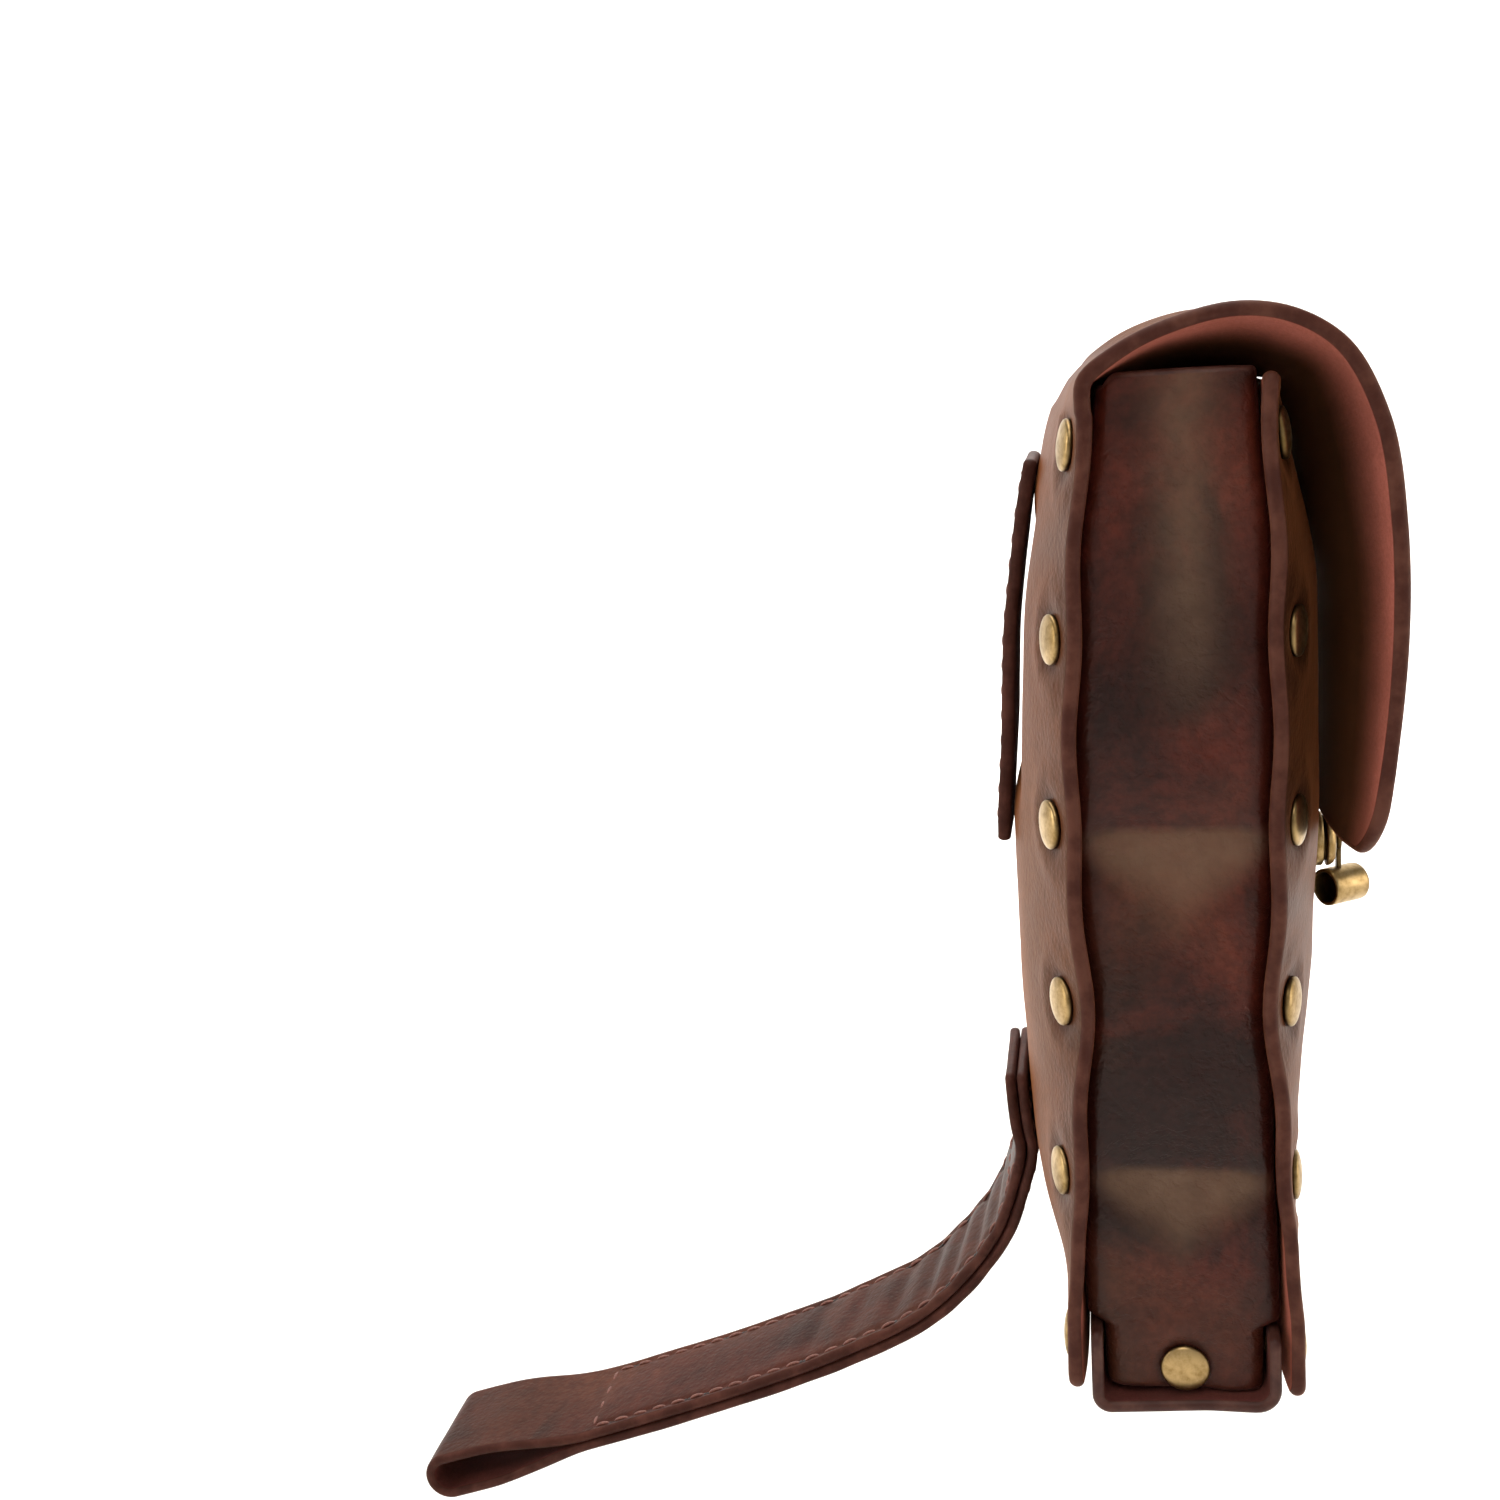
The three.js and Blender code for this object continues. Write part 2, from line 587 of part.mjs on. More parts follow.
// The strap's two layers, each beside the line between them, parted at the end into an open loop
function legStrap() {
  const offBack = FIT_GAP + STRAP_THICK + STRAP_SLIT / 2;
  const sewn = STRAP_SEWN_HEIGHTS.map((z) => backFace(0, z).add(new THREE.Vector3(0, offBack, 0)));
  const free = STRAP_ROWS.map((row) => new THREE.Vector3(0, row.y, row.z));
  const line = new THREE.CatmullRomCurve3([...sewn, ...free], false, 'centripetal');
  const length = line.getLength();
  const stations = Array.from({ length: STRAP_STEPS + 1 }, (_, i) => {
    const u = i / STRAP_STEPS;
    const along = line.getTangentAt(u);
    const fromEnd = length * (1 - u);
    const opened = 1 - THREE.MathUtils.smoothstep(fromEnd, STRAP_LOOP_FULL, STRAP_LOOP_LENGTH);
    return {
      middle: line.getPointAt(u),
      out: new THREE.Vector2(-along.z, along.y),
      half: THREE.MathUtils.lerp(STRAP_SLIT, STRAP_LOOP_OPEN, opened) / 2,
    };
  });
  const beside = ({ middle, out }, distance) =>
    new THREE.Vector2(middle.y, middle.z).addScaledVector(out, distance);
  const end = stations.at(-1);
  const turn = (radius, from, to) => Array.from({ length: STRAP_TURN_STEPS - 1 }, (_, i) => {
    const angle = THREE.MathUtils.lerp(from, to, (i + 1) / STRAP_TURN_STEPS);
    const forward = new THREE.Vector2(end.out.y, -end.out.x);
    const point = beside(end, radius * Math.sin(angle));
    return point.addScaledVector(forward, radius * Math.cos(angle));
  });
  const quarter = Math.PI / 2;
  const outline = [
    ...stations.map((station) => beside(station, station.half + STRAP_THICK)),
    ...turn(end.half + STRAP_THICK, quarter, -quarter),
    ...stations.toReversed().map((station) => beside(station, -station.half - STRAP_THICK)),
    ...stations.map((station) => beside(station, -station.half)),
    ...turn(end.half, -quarter, quarter),
    ...stations.toReversed().map((station) => beside(station, station.half)),
  ];
  return geometryOf(solid(drawnOut(new THREE.Shape(outline), STRAP_WIDTH)));
}

const OUTWARDS = new THREE.Vector3(0, -1, 0);
const STUD_SEAT = frontFace(0, CLASP_Z);
const STUD_FRONT = RIVET_SEAT + STUD_BASE + STUD_GROOVE + STUD_CAP;

function claspStud() {
  const tailTop = -(PANEL_THICK + RIVET_SEAT);
  const capBack = RIVET_SEAT + STUD_BASE + STUD_GROOVE;
  const pinEnd = STUD_FRONT + PIN_LENGTH;
  const profile = [
    [0, tailTop - RIVET_TAIL_THICK],
    [RIVET_TAIL_RADIUS, tailTop - RIVET_TAIL_THICK],
    [RIVET_TAIL_RADIUS, tailTop],
    [RIVET_SHANK, tailTop],
    [RIVET_SHANK, RIVET_SEAT],
    [STUD_RADIUS, RIVET_SEAT],
    [STUD_RADIUS, RIVET_SEAT + STUD_BASE],
    [STUD_NECK_RADIUS, RIVET_SEAT + STUD_BASE],
    [STUD_NECK_RADIUS, capBack],
    [STUD_RADIUS, capBack],
    [STUD_CAP_RADIUS, STUD_FRONT],
    [PIN_RADIUS, STUD_FRONT],
    [PIN_RADIUS, pinEnd - PIN_HEAD],
    [PIN_HEAD_RADIUS, pinEnd - PIN_HEAD],
    [PIN_HEAD_RADIUS, pinEnd],
    [0, pinEnd],
  ];
  return geometryOf(solid(turned(profile, STUD_SIDES, STUD_SEAT, OUTWARDS)));
}

// The lever: an eye on the pin, a short link and a barrel with a recessed end towards the bag
function claspLever() {
  const linkBack = STUD_SEAT.y - STUD_FRONT - FIT_GAP;
  const outline = new THREE.Shape();
  const shoulder = Math.asin(LINK_HALF_WIDTH / EYE_RADIUS);
  outline.absarc(0, 0, EYE_RADIUS, -Math.PI / 2 + shoulder, Math.PI * 1.5 - shoulder, false);
  const linkEnd = -BARREL_DROP + BARREL_RADIUS - LINK_OVERLAP;
  outline.lineTo(-LINK_HALF_WIDTH, linkEnd);
  outline.lineTo(LINK_HALF_WIDTH, linkEnd);
  const eye = new THREE.Path();
  eye.absarc(0, 0, EYE_HOLE, 0, Math.PI * 2, true);
  outline.holes.push(eye);
  const plate = { depth: LINK_THICK, bevelEnabled: false, curveSegments: 12 };
  const link = new THREE.ExtrudeGeometry(outline, plate);
  link.rotateX(Math.PI / 2).translate(STUD_SEAT.x, linkBack, CLASP_Z);
  const bore = BARREL_RADIUS - BARREL_WALL;
  const profile = [
    [0, BARREL_RECESS],
    [bore, BARREL_RECESS],
    [bore, 0],
    [BARREL_RADIUS, 0],
    [BARREL_RADIUS, BARREL_LENGTH - BARREL_ROUND],
    [BARREL_RADIUS - BARREL_EASE, BARREL_LENGTH - BARREL_EASE],
    [BARREL_RADIUS - BARREL_ROUND, BARREL_LENGTH],
    [0, BARREL_LENGTH],
  ];
  const axis = OUTWARDS.clone().applyAxisAngle(new THREE.Vector3(0, 0, 1), BARREL_TURN);
  const place = new THREE.Vector3(STUD_SEAT.x, STUD_SEAT.y - BARREL_MIDDLE, CLASP_Z - BARREL_DROP);
  place.addScaledVector(axis, -BARREL_LENGTH / 2);
  const barrel = turned(profile, BARREL_SIDES, place, axis);
  return geometryOf(solid(link).add(solid(barrel)));
}

function piece(name, geometry, finish) {
  const mesh = new THREE.Mesh(geometry, new THREE.MeshStandardMaterial(finish));
  mesh.name = name;
  return mesh;
}

const pouch = new THREE.Group();
pouch.position.set(0, -(backFace(0, SLOT_MIDDLE.z).y + SLOT_MIDDLE.gap / 2), -SLOT_MIDDLE.z);

const leftGusset = gussetLeft();
pouch.add(piece('back_flap', backFlap(), LEATHER));
pouch.add(piece('front_panel', frontPanel(), LEATHER));
pouch.add(piece('gusset_left', leftGusset, GUSSET_LEATHER));
pouch.add(piece('gusset_right', mirrored(leftGusset), GUSSET_LEATHER));
pouch.add(piece('bottom_tray', bottomTray(), GUSSET_LEATHER));
pouch.add(piece('belt_loop', beltLoop(), STRAP_LEATHER));
pouch.add(piece('leg_strap', legStrap(), STRAP_LEATHER));
pouch.add(piece('clasp_stud', claspStud(), ANTIQUE_BRASS));
pouch.add(piece('clasp_lever', claspLever(), ANTIQUE_BRASS));
for (const place of RIVETS) pouch.add(piece(place.name, rivet(place), ANTIQUE_BRASS));

const model = new THREE.Group();
model.add(pouch);
export default model;
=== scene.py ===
# A brown leather belt pouch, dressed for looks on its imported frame.
import math

import bmesh
import bpy
import numpy as np
from mathutils import Matrix, Vector, noise


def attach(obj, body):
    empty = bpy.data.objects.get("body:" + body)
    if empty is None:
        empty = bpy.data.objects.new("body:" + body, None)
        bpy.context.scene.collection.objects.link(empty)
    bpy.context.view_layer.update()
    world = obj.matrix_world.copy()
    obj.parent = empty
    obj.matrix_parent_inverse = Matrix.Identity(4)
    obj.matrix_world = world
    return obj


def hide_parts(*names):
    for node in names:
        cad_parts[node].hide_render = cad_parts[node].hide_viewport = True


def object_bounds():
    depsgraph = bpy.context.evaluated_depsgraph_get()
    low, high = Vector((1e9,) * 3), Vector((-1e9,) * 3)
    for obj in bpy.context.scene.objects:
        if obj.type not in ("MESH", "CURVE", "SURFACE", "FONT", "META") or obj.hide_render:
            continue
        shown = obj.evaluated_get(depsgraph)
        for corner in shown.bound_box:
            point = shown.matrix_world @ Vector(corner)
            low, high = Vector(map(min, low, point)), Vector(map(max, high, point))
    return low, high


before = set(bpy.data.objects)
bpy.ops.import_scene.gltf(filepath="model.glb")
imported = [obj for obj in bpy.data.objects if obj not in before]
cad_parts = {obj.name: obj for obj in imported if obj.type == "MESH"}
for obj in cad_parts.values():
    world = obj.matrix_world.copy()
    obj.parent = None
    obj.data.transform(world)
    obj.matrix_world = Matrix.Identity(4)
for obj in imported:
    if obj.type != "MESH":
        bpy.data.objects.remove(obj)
CAD_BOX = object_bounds()

# Sizes of the bag in millimetres, drawn with z = 0 at its base and its front towards -Y
MM = 0.001
WIDTH = 112.0
HALF_WIDTH = WIDTH / 2
PANEL_THICK = 2.6
GUSSET_THICK = 2.0
TRAY_THICK = 2.2
STRAP_THICK = 2.1
FIT_GAP = 0.3
FLANGE_GAP = 0.6
PANEL_BOTTOM = 2.5
FRONT_TOP = 187.0
FRONT_SCOOP = 2.5
GUSSET_TOP = 187.4
GUSSET_DOME = 0.8
GUSSET_DOME_SPAN = 22.0
GUSSET_BACK_DROP = 1.6
BACK_DROP_Y = (8.5, 11.2)
ARCH_START = 181.0
PANEL_CORNER = 4.0
FLAP_CORNER = 11.0
FLAP_SAG = 6.0
GRID_STEP = 1.5
GUSSET_STEP = 0.9

# Distance of the panels' sides from the middle plane at each height, and the bulge of their middle
PANEL_NAMES = ("z", "back_edge", "front_edge", "back_crown", "front_crown")
PANEL_ROWS = (
    (2.5, 19.9, 19.9, 0.0, 0.0),
    (16.0, 19.9, 19.9, 0.6, 0.0),
    (30.0, 19.6, 20.0, 7.2, 0.6),
    (54.0, 18.4, 18.4, 10.6, 5.8),
    (78.0, 16.9, 16.6, 13.0, 11.2),
    (108.0, 18.4, 17.8, 11.4, 11.0),
    (145.0, 17.4, 17.9, 10.6, 10.8),
    (170.0, 15.7, 17.5, 7.0, 6.2),
    (181.0, 14.9, 17.3, 5.0, 3.2),
    (188.0, 14.4, 17.2, 0.2, 1.0),
)

# Outer line of the arch and the flap at the sides: bulge of the middle, then y and z
FLAP_ROWS = (
    (0.6, 14.6, 187.5),
    (-4.2, 9.8, 192.0),
    (-6.8, 2.2, 195.9),
    (-9.6, -10.3, 198.6),
    (-10.2, -20.1, 196.9),
    (-8.0, -28.6, 191.0),
    (-9.2, -34.8, 178.6),
    (-8.2, -37.4, 162.0),
    (-5.8, -37.9, 147.0),
    (-4.6, -37.2, 131.0),
    (-2.8, -35.4, 116.0),
    (-0.2, -32.2, 99.5),
)

# Side edges stand out between the rivets, are drawn in at them and flare at the base
EDGE_WAVE = 0.5
WAVE_HEIGHTS = (20.0, 40.0)
EDGE_FLARE = 1.5
FLARE_HEIGHTS = (16.0, 32.0)
# Distance from the edge where painted shade on the flap's suede starts and where it is darkest
SUEDE_SHADE = (1.0, 20.0)

# Rivets and the dents that they press into the leather
RIVET_PITCH = 33.2
RIVET_FIRST_Z = 10.5
RIVETS_PER_SIDE = 6
RIVET_INSET = 8.5
RIVET_MIDDLE_X = 17.0
GUSSET_RIVET_Z = 7.0
DENT_DEPTH = 0.75
DENT_RADIUS = 5.6
DENT_RING = 0.4
DENT_RING_RADIUS = 8.4
DENT_RING_WIDTH = 2.8
PUCKER = 0.12
BURNISH_RADIUS = 4.6
BURNISH_WIDTH = 1.6
# Distance from the panel's edge where dents start and where they are full
DENT_FADE = (1.5, 6.5)

# Gussets, set back from the panels' edges, and the folds across them
GUSSET_FACE_X = HALF_WIDTH - 3.5
FLANGE_WIDTH = 14.0
FOLD_RADIUS = 4.0
FOLD_HALF_SPAN = 17.0
# Height, depth, reach above, reach below and sharpness of each fold
GUSSET_FOLDS = (
    (156.0, 1.2, 26.0, 26.0, 0.0),
    (109.0, 3.4, 7.0, 17.0, 1.0),
    (45.0, 3.2, 7.0, 15.0, 1.0),
)

# Bottom tray with its end tabs
TRAY_HALF_DEPTH = PANEL_ROWS[0][1] - PANEL_THICK - FIT_GAP
TRAY_HEIGHT = 15.0
TRAY_RADIUS = 4.6
TRAY_BACK_RADIUS = 3.4
TRAY_BACK_DROP = 1.2
TRAY_LEVEL_Y = -4.0
TAB_HALF_WIDTH = 11.0

# Hollow in the back panel behind the belt loop: its depth, reach to the sides and heights
HOLLOW_DEPTH = 5.2
HOLLOW_X = (15.5, 27.0)
HOLLOW_LOW = (102.0, 128.0)
HOLLOW_HIGH = (146.0, 168.0)

# Belt loop: height and gap behind it
LOOP_WIDTH = 28.0
LOOP_THICK = 2.6
LOOP_ROWS = (
    (97.5, 0.3),
    (104.0, 0.4),
    (112.0, 1.25),
    (122.0, 3.9),
    (134.0, 4.7),
    (146.0, 4.2),
    (155.0, 2.6),
    (164.0, 0.5),
    (172.0, 0.3),
)
SLOT_MIDDLE_Z, SLOT_MIDDLE_GAP = LOOP_ROWS[4]

# Leg strap: heights where it lies on the back, then y and z of the line between its layers
STRAP_WIDTH = 28.0
STRAP_SEWN_HEIGHTS = (48.0, 42.0, 36.5, 31.0)
STRAP_ROWS = (
    (30.9, 24.5),
    (36.2, 10.5),
    (51.0, -6.8),
    (70.0, -17.8),
    (89.0, -26.2),
    (129.0, -41.0),
    (164.6, -52.4),
)
STRAP_SLIT = 0.3
STRAP_LOOP_OPEN = 6.5
STRAP_LOOP_LENGTH = 36.0
STRAP_LOOP_FULL = 9.0
# Creases across the strap's outer face: distance from its top, slant and depth
STRAP_CREASES = (
    (27.0, -0.10, 0.45),
    (35.0, -0.16, 0.65),
    (43.5, -0.12, 0.75),
    (52.0, -0.17, 0.75),
    (60.5, -0.13, 0.65),
    (70.0, -0.18, 0.5),
    (81.0, -0.14, 0.35),
    (92.0, -0.16, 0.25),
)
CREASE_WIDTH = 2.0
CREASE_RIDGE = 4.2
CREASE_RIDGE_WIDTH = 2.6

# Stitches
STITCH_PITCH = 4.7
STITCH_LENGTH = 3.7
STITCH_INSET = 2.6
THREAD_RADIUS = 0.36
STITCH_SUNK = 0.2
STITCH_SLANT = 0.07
BOX_TOP = 5.2
BOX_LENGTH = 22.0
LOOP_SEAM_ROWS = (3.0, 10.2)

# Clasp
CLASP_Z = 93.4
STUD_FRONT = 4.5
BARREL_DROP = 9.55
BARREL_MIDDLE = 6.0
BARREL_LENGTH = 8.8
BARREL_TURN = math.radians(35)
LINK_THICK = 0.9

# Camera, from the bag's own coordinates
CAMERA_PLACE = (-359.2, 12.2, 194.86)
CAMERA_YAW = math.radians(-11.365)
CAMERA_PITCH = math.radians(12.374)
CAMERA_ROLL = math.radians(3.996)
SENSOR_WIDTH = 36.0
CAMERA_LENS = 1791.7 / 1500.0 * SENSOR_WIDTH
FLOOR_DROP = 35.0


# Smooth value of a table's column at any height, flat where the column turns round
def smooth_column(heights, values):
    heights = np.asarray(heights, float)
    values = np.asarray(values, float)
    slopes = np.diff(values) / np.diff(heights)
    before = np.concatenate([slopes[:1], slopes])
    after = np.concatenate([slopes, slopes[-1:]])
    same_way = before * after > 0
    total = np.where(same_way, before + after, 1.0)
    tangents = np.where(same_way, 2 * before * after / total, 0.0)

    def value(z):
        z = np.asarray(z, float)
        i = np.clip(np.searchsorted(heights, z) - 1, 0, len(slopes) - 1)
        span = heights[i + 1] - heights[i]
        t = np.clip((z - heights[i]) / span, 0, 1)
        h = t * t * (3 - 2 * t)
        rise = t * (1 - t) * ((1 - t) * tangents[i] - t * tangents[i + 1]) * span
        return values[i] * (1 - h) + values[i + 1] * h + rise

    return value


def panel_column(name):
    k = PANEL_NAMES.index(name)
    return smooth_column([row[0] for row in PANEL_ROWS], [row[k] for row in PANEL_ROWS])


back_edge = panel_column("back_edge")
front_edge = panel_column("front_edge")
back_crown = panel_column("back_crown")
front_crown = panel_column("front_crown")
loop_gap = smooth_column([row[0] for row in LOOP_ROWS], [row[1] for row in LOOP_ROWS])


def smoothstep(value, low, high):
    t = np.clip((np.asarray(value, float) - low) / (high - low), 0, 1)
    return t * t * (3 - 2 * t)


def bulge(x):
    return 1 - (np.asarray(x, float) / HALF_WIDTH) ** 2


def edge_wave(x, z):
    near_edge = np.abs(np.asarray(x, float) / HALF_WIDTH) ** 6
    turn = 2 * np.pi * (np.asarray(z, float) - RIVET_FIRST_Z) / RIVET_PITCH
    wave = -EDGE_WAVE * np.cos(turn) * smoothstep(z, *WAVE_HEIGHTS)
    flare = EDGE_FLARE * (1 - smoothstep(z, *FLARE_HEIGHTS))
    return near_edge * (wave + flare)


def loop_hollow(x, z):
    upwards = smoothstep(z, *HOLLOW_LOW) - smoothstep(z, *HOLLOW_HIGH)
    return HOLLOW_DEPTH * upwards * (1 - smoothstep(np.abs(x), *HOLLOW_X))


def back_face(x, z):
    return back_edge(z) + back_crown(z) * bulge(x) + edge_wave(x, z) - loop_hollow(x, z)


def front_face(x, z):
    return -(front_edge(z) + front_crown(z) * bulge(x) + edge_wave(x, z))


# Outward normal of a panel's face, as three arrays
def face_normal(face, x, z):
    step = 0.5
    slope_x = (face(x + step, z) - face(x - step, z)) / (2 * step)
    slope_z = (face(x, z + step) - face(x, z - step)) / (2 * step)
    out = 1.0 if face is back_face else -1.0
    normal = np.stack([-slope_x * out, np.ones_like(slope_x) * out, -slope_z * out], axis=-1)
    return normal / np.linalg.norm(normal, axis=-1, keepdims=True)


def under(face, x, z, distance):
    return face(x, z) - distance / face_normal(face, x, z)[..., 1]


SLOT_MIDDLE_Y = float(back_face(0.0, SLOT_MIDDLE_Z)) + SLOT_MIDDLE_GAP / 2
BAG_PLACE = np.array([0.0, -SLOT_MIDDLE_Y, -SLOT_MIDDLE_Z])


# Points of the bag in metres, with the middle of the belt slot at the origin
def in_frame(points):
    return (np.asarray(points, float) + BAG_PLACE) * MM


# A smooth line through points, close together, and places along it by distance
def smooth_line(points, samples=60):
    points = np.asarray(points, float)
    first = 2 * points[0] - points[1]
    last = 2 * points[-1] - points[-2]
    all_points = np.vstack([first, points, last])
    t = np.linspace(0, 1, samples, endpoint=False)[:, None]
    pieces = []
    for p0, p1, p2, p3 in zip(all_points, all_points[1:], all_points[2:], all_points[3:]):
        d0, d1, d2 = (math.sqrt(np.linalg.norm(b - a)) for a, b in ((p0, p1), (p1, p2), (p2, p3)))
        m1 = ((p1 - p0) / d0 - (p2 - p0) / (d0 + d1) + (p2 - p1) / d1) * d1
        m2 = ((p2 - p1) / d1 - (p3 - p1) / (d1 + d2) + (p3 - p2) / d2) * d1
        square = -3 * p1 + 3 * p2 - 2 * m1 - m2
        cube = 2 * p1 - 2 * p2 + m1 + m2
        pieces.append(p1 + m1 * t + square * t**2 + cube * t**3)
    pieces.append(points[-1:])
    return np.vstack(pieces)


class Line:
    def __init__(self, points):
        self.points = smooth_line(points)
        steps = np.linalg.norm(np.diff(self.points, axis=0), axis=1)
        self.distance = np.concatenate([[0.0], np.cumsum(steps)])
        self.length = float(self.distance[-1])

    def at(self, distance):
        return np.stack([np.interp(distance, self.distance, c) for c in self.points.T], axis=-1)

    def tangent(self, distance):
        step = 0.3
        low = np.clip(np.asarray(distance) - step, 0, self.length - 2 * step)
        along = self.at(low + 2 * step) - self.at(low)
        return along / np.linalg.norm(along, axis=-1, keepdims=True)


# Soft unevenness of hide, the same on each run: waves of a size and a height, each with its own seed
SEED_STEP = Vector((7.3, 3.1, 5.7))


def uneven(points, waves, first_seed):
    total = np.zeros(points.shape[:-1])
    for k, (size, height) in enumerate(waves):
        offset = SEED_STEP * (first_seed + k)
        values = [noise.noise(Vector(p) + offset) for p in points.reshape(-1, 3) / size]
        total += np.array(values).reshape(total.shape) * height
    return total


def grid_normals(grid):
    across = np.empty_like(grid)
    along = np.empty_like(grid)
    across[:, 1:-1] = grid[:, 2:] - grid[:, :-2]
    across[:, 0] = grid[:, 1] - grid[:, 0]
    across[:, -1] = grid[:, -1] - grid[:, -2]
    along[1:-1] = grid[2:] - grid[:-2]
    along[0] = grid[1] - grid[0]
    along[-1] = grid[-1] - grid[-2]
    normal = np.cross(across, along)
    return normal / np.linalg.norm(normal, axis=-1, keepdims=True)


# A leather wall: outer and inner face, and an edge rounded like a painted leather edge
EDGE_STEPS = 7


def leather_wall(grid, thickness, rounding, relief, burnish_tarnish_and_shade=None, deep=None, painted_sheen=None):
    rows, columns = grid.shape[:2]
    count = rows * columns
    normal = grid_normals(grid)
    outer = (grid + normal * relief[..., None]).reshape(-1, 3)
    inner = (grid - normal * thickness).reshape(-1, 3)
    ids = np.arange(count).reshape(rows, columns)
    loop = np.concatenate([ids[0, :-1], ids[:-1, -1], ids[-1, :0:-1], ids[:0:-1, 0]])
    flat_normal = normal.reshape(-1, 3)[loop]
    middle = (outer[loop] + inner[loop]) / 2
    half = np.linalg.norm(outer[loop] - inner[loop], axis=1, keepdims=True) / 2
    tangent = np.roll(middle, -1, axis=0) - np.roll(middle, 1, axis=0)
    tangent /= np.linalg.norm(tangent, axis=1, keepdims=True)
    outwards = np.cross(tangent, flat_normal)
    outwards /= np.linalg.norm(outwards, axis=1, keepdims=True)
    points = [outer, inner]
    rings = [loop]
    for k in range(EDGE_STEPS):
        angle = math.pi * (k + 1) / (EDGE_STEPS + 1)
        points.append(middle + outwards * rounding * math.sin(angle) + flat_normal * half * math.cos(angle))
        rings.append(2 * count + k * len(loop) + np.arange(len(loop)))
    rings.append(loop + count)
    a, b = ids[:-1, :-1], ids[:-1, 1:]
    d, e = ids[1:, :-1], ids[1:, 1:]
    faces = [np.stack([a, b, e, d], axis=-1).reshape(-1, 4)]
    faces.append(np.stack([a, d, e, b], axis=-1).reshape(-1, 4) + count)
    for ring, following in zip(rings, rings[1:]):
        faces.append(np.stack([ring, following, np.roll(following, -1), np.roll(ring, -1)], axis=-1))
    none = np.zeros(count)
    edge = np.zeros(EDGE_STEPS * len(loop))
    beside_edge = np.zeros(count)
    beside_edge[loop] = 0.5
    burnish_tarnish_and_shade, deep, painted_sheen = (none if mask is None else mask.reshape(-1) for mask in (burnish_tarnish_and_shade, deep, painted_sheen))
    return {
        "points": np.vstack(points),
        "faces": np.vstack(faces).tolist(),
        "rim": np.concatenate([beside_edge, beside_edge, edge + 1]),
        "inside": np.concatenate([none, none + 1, edge]),
        "burnish_tarnish_and_shade": np.concatenate([burnish_tarnish_and_shade, none, edge]),
        "deep": np.concatenate([none, deep, edge]),
        "painted_sheen": np.concatenate([painted_sheen, none, edge]),
    }


# A sheet that follows a line of y and z, with the same columns all along it
def swept(line, across):
    grid = np.empty((len(line), len(across), 3))
    grid[..., 0] = across[None, :]
    grid[..., 1:] = np.asarray(line)[:, None, :]
    return grid


# What the materials read from a mesh: painted edge, inner side, burnish and tarnish with some painted shade,
# painted shade, and painted sheen
MASKS = ("rim", "inside", "burnish_tarnish_and_shade", "deep", "painted_sheen")


def mirrored(part):
    flipped = dict(part)
    flipped["points"] = part["points"] * np.array([-1.0, 1.0, 1.0])
    flipped["faces"] = [face[::-1] for face in part["faces"]]
    return flipped


def put_together(parts):
    points = np.vstack([part["points"] for part in parts])
    faces = []
    start = 0
    for part in parts:
        faces.extend([[i + start for i in face] for face in part["faces"]])
        start += len(part["points"])
    return points, faces


def mesh_of(name, parts):
    points, faces = put_together(parts)
    mesh = bpy.data.meshes.new(name)
    mesh.from_pydata(in_frame(points).tolist(), [], faces)
    for mask in MASKS:
        values = np.concatenate([part.get(mask, np.zeros(len(part["points"]))) for part in parts])
        attribute = mesh.attributes.new(mask, "FLOAT", "POINT")
        attribute.data.foreach_set("value", values.astype(np.float32))
    mesh.shade_smooth()
    mesh.update()
    return mesh


def place(name, mesh, material, slot, nodes, body="pouch"):
    if material is not None:
        mesh.materials.clear()
        mesh.materials.append(material)
    piece = bpy.data.objects.new(name, mesh)
    bpy.context.scene.collection.objects.link(piece)
    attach(piece, body)
    if nodes:
        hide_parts(*nodes)
    return piece


# Node helpers
def node(tree, kind, inputs=None, **settings):
    made = tree.nodes.new(kind)
    for key, value in settings.items():
        setattr(made, key, value)
    for key, value in (inputs or {}).items():
        if isinstance(value, bpy.types.NodeSocket):
            tree.links.new(value, made.inputs[key])
        else:
            made.inputs[key].default_value = value
    return made


def calc(tree, operation, a, b=0.0, clamp=False):
    return node(tree, "ShaderNodeMath", {0: a, 1: b}, operation=operation, use_clamp=clamp).outputs[0]


def mix_colour(tree, factor, a, b, blend="MIX"):
    made = node(tree, "ShaderNodeMix", {0: factor, 6: a, 7: b}, data_type="RGBA", blend_type=blend)
    return made.outputs[2]


def band(tree, value, low, high, start=0.0, end=1.0):
    inputs = {0: value, 1: low, 2: high, 3: start, 4: end}
    return node(tree, "ShaderNodeMapRange", inputs, interpolation_type="SMOOTHSTEP").outputs[0]


def mask_value(tree, name):
    return node(tree, "ShaderNodeAttribute", attribute_name=name).outputs["Fac"]


# Linear colour of a hex code
def colour(code):
    parts = [int(code[i:i + 2], 16) / 255 for i in (0, 2, 4)]
    linear = [c / 12.92 if c <= 0.04045 else ((c + 0.055) / 1.055) ** 2.4 for c in parts]
    return (*linear, 1.0)


def object_place(tree):
    return node(tree, "ShaderNodeTexCoord").outputs["Object"]


def speckle(tree, place_on, scale, detail, roughness=0.5, distortion=0.0, output="Fac"):
    inputs = {"Vector": place_on, "Scale": scale, "Detail": detail}
    inputs.update({"Roughness": roughness, "Distortion": distortion})
    return node(tree, "ShaderNodeTexNoise", inputs).outputs[output]


def raise_bump(tree, shader, height, strength, distance):
    bump = node(tree, "ShaderNodeBump", {"Height": height, "Strength": strength, "Distance": distance})
    tree.links.new(bump.outputs["Normal"], shader.inputs["Normal"])


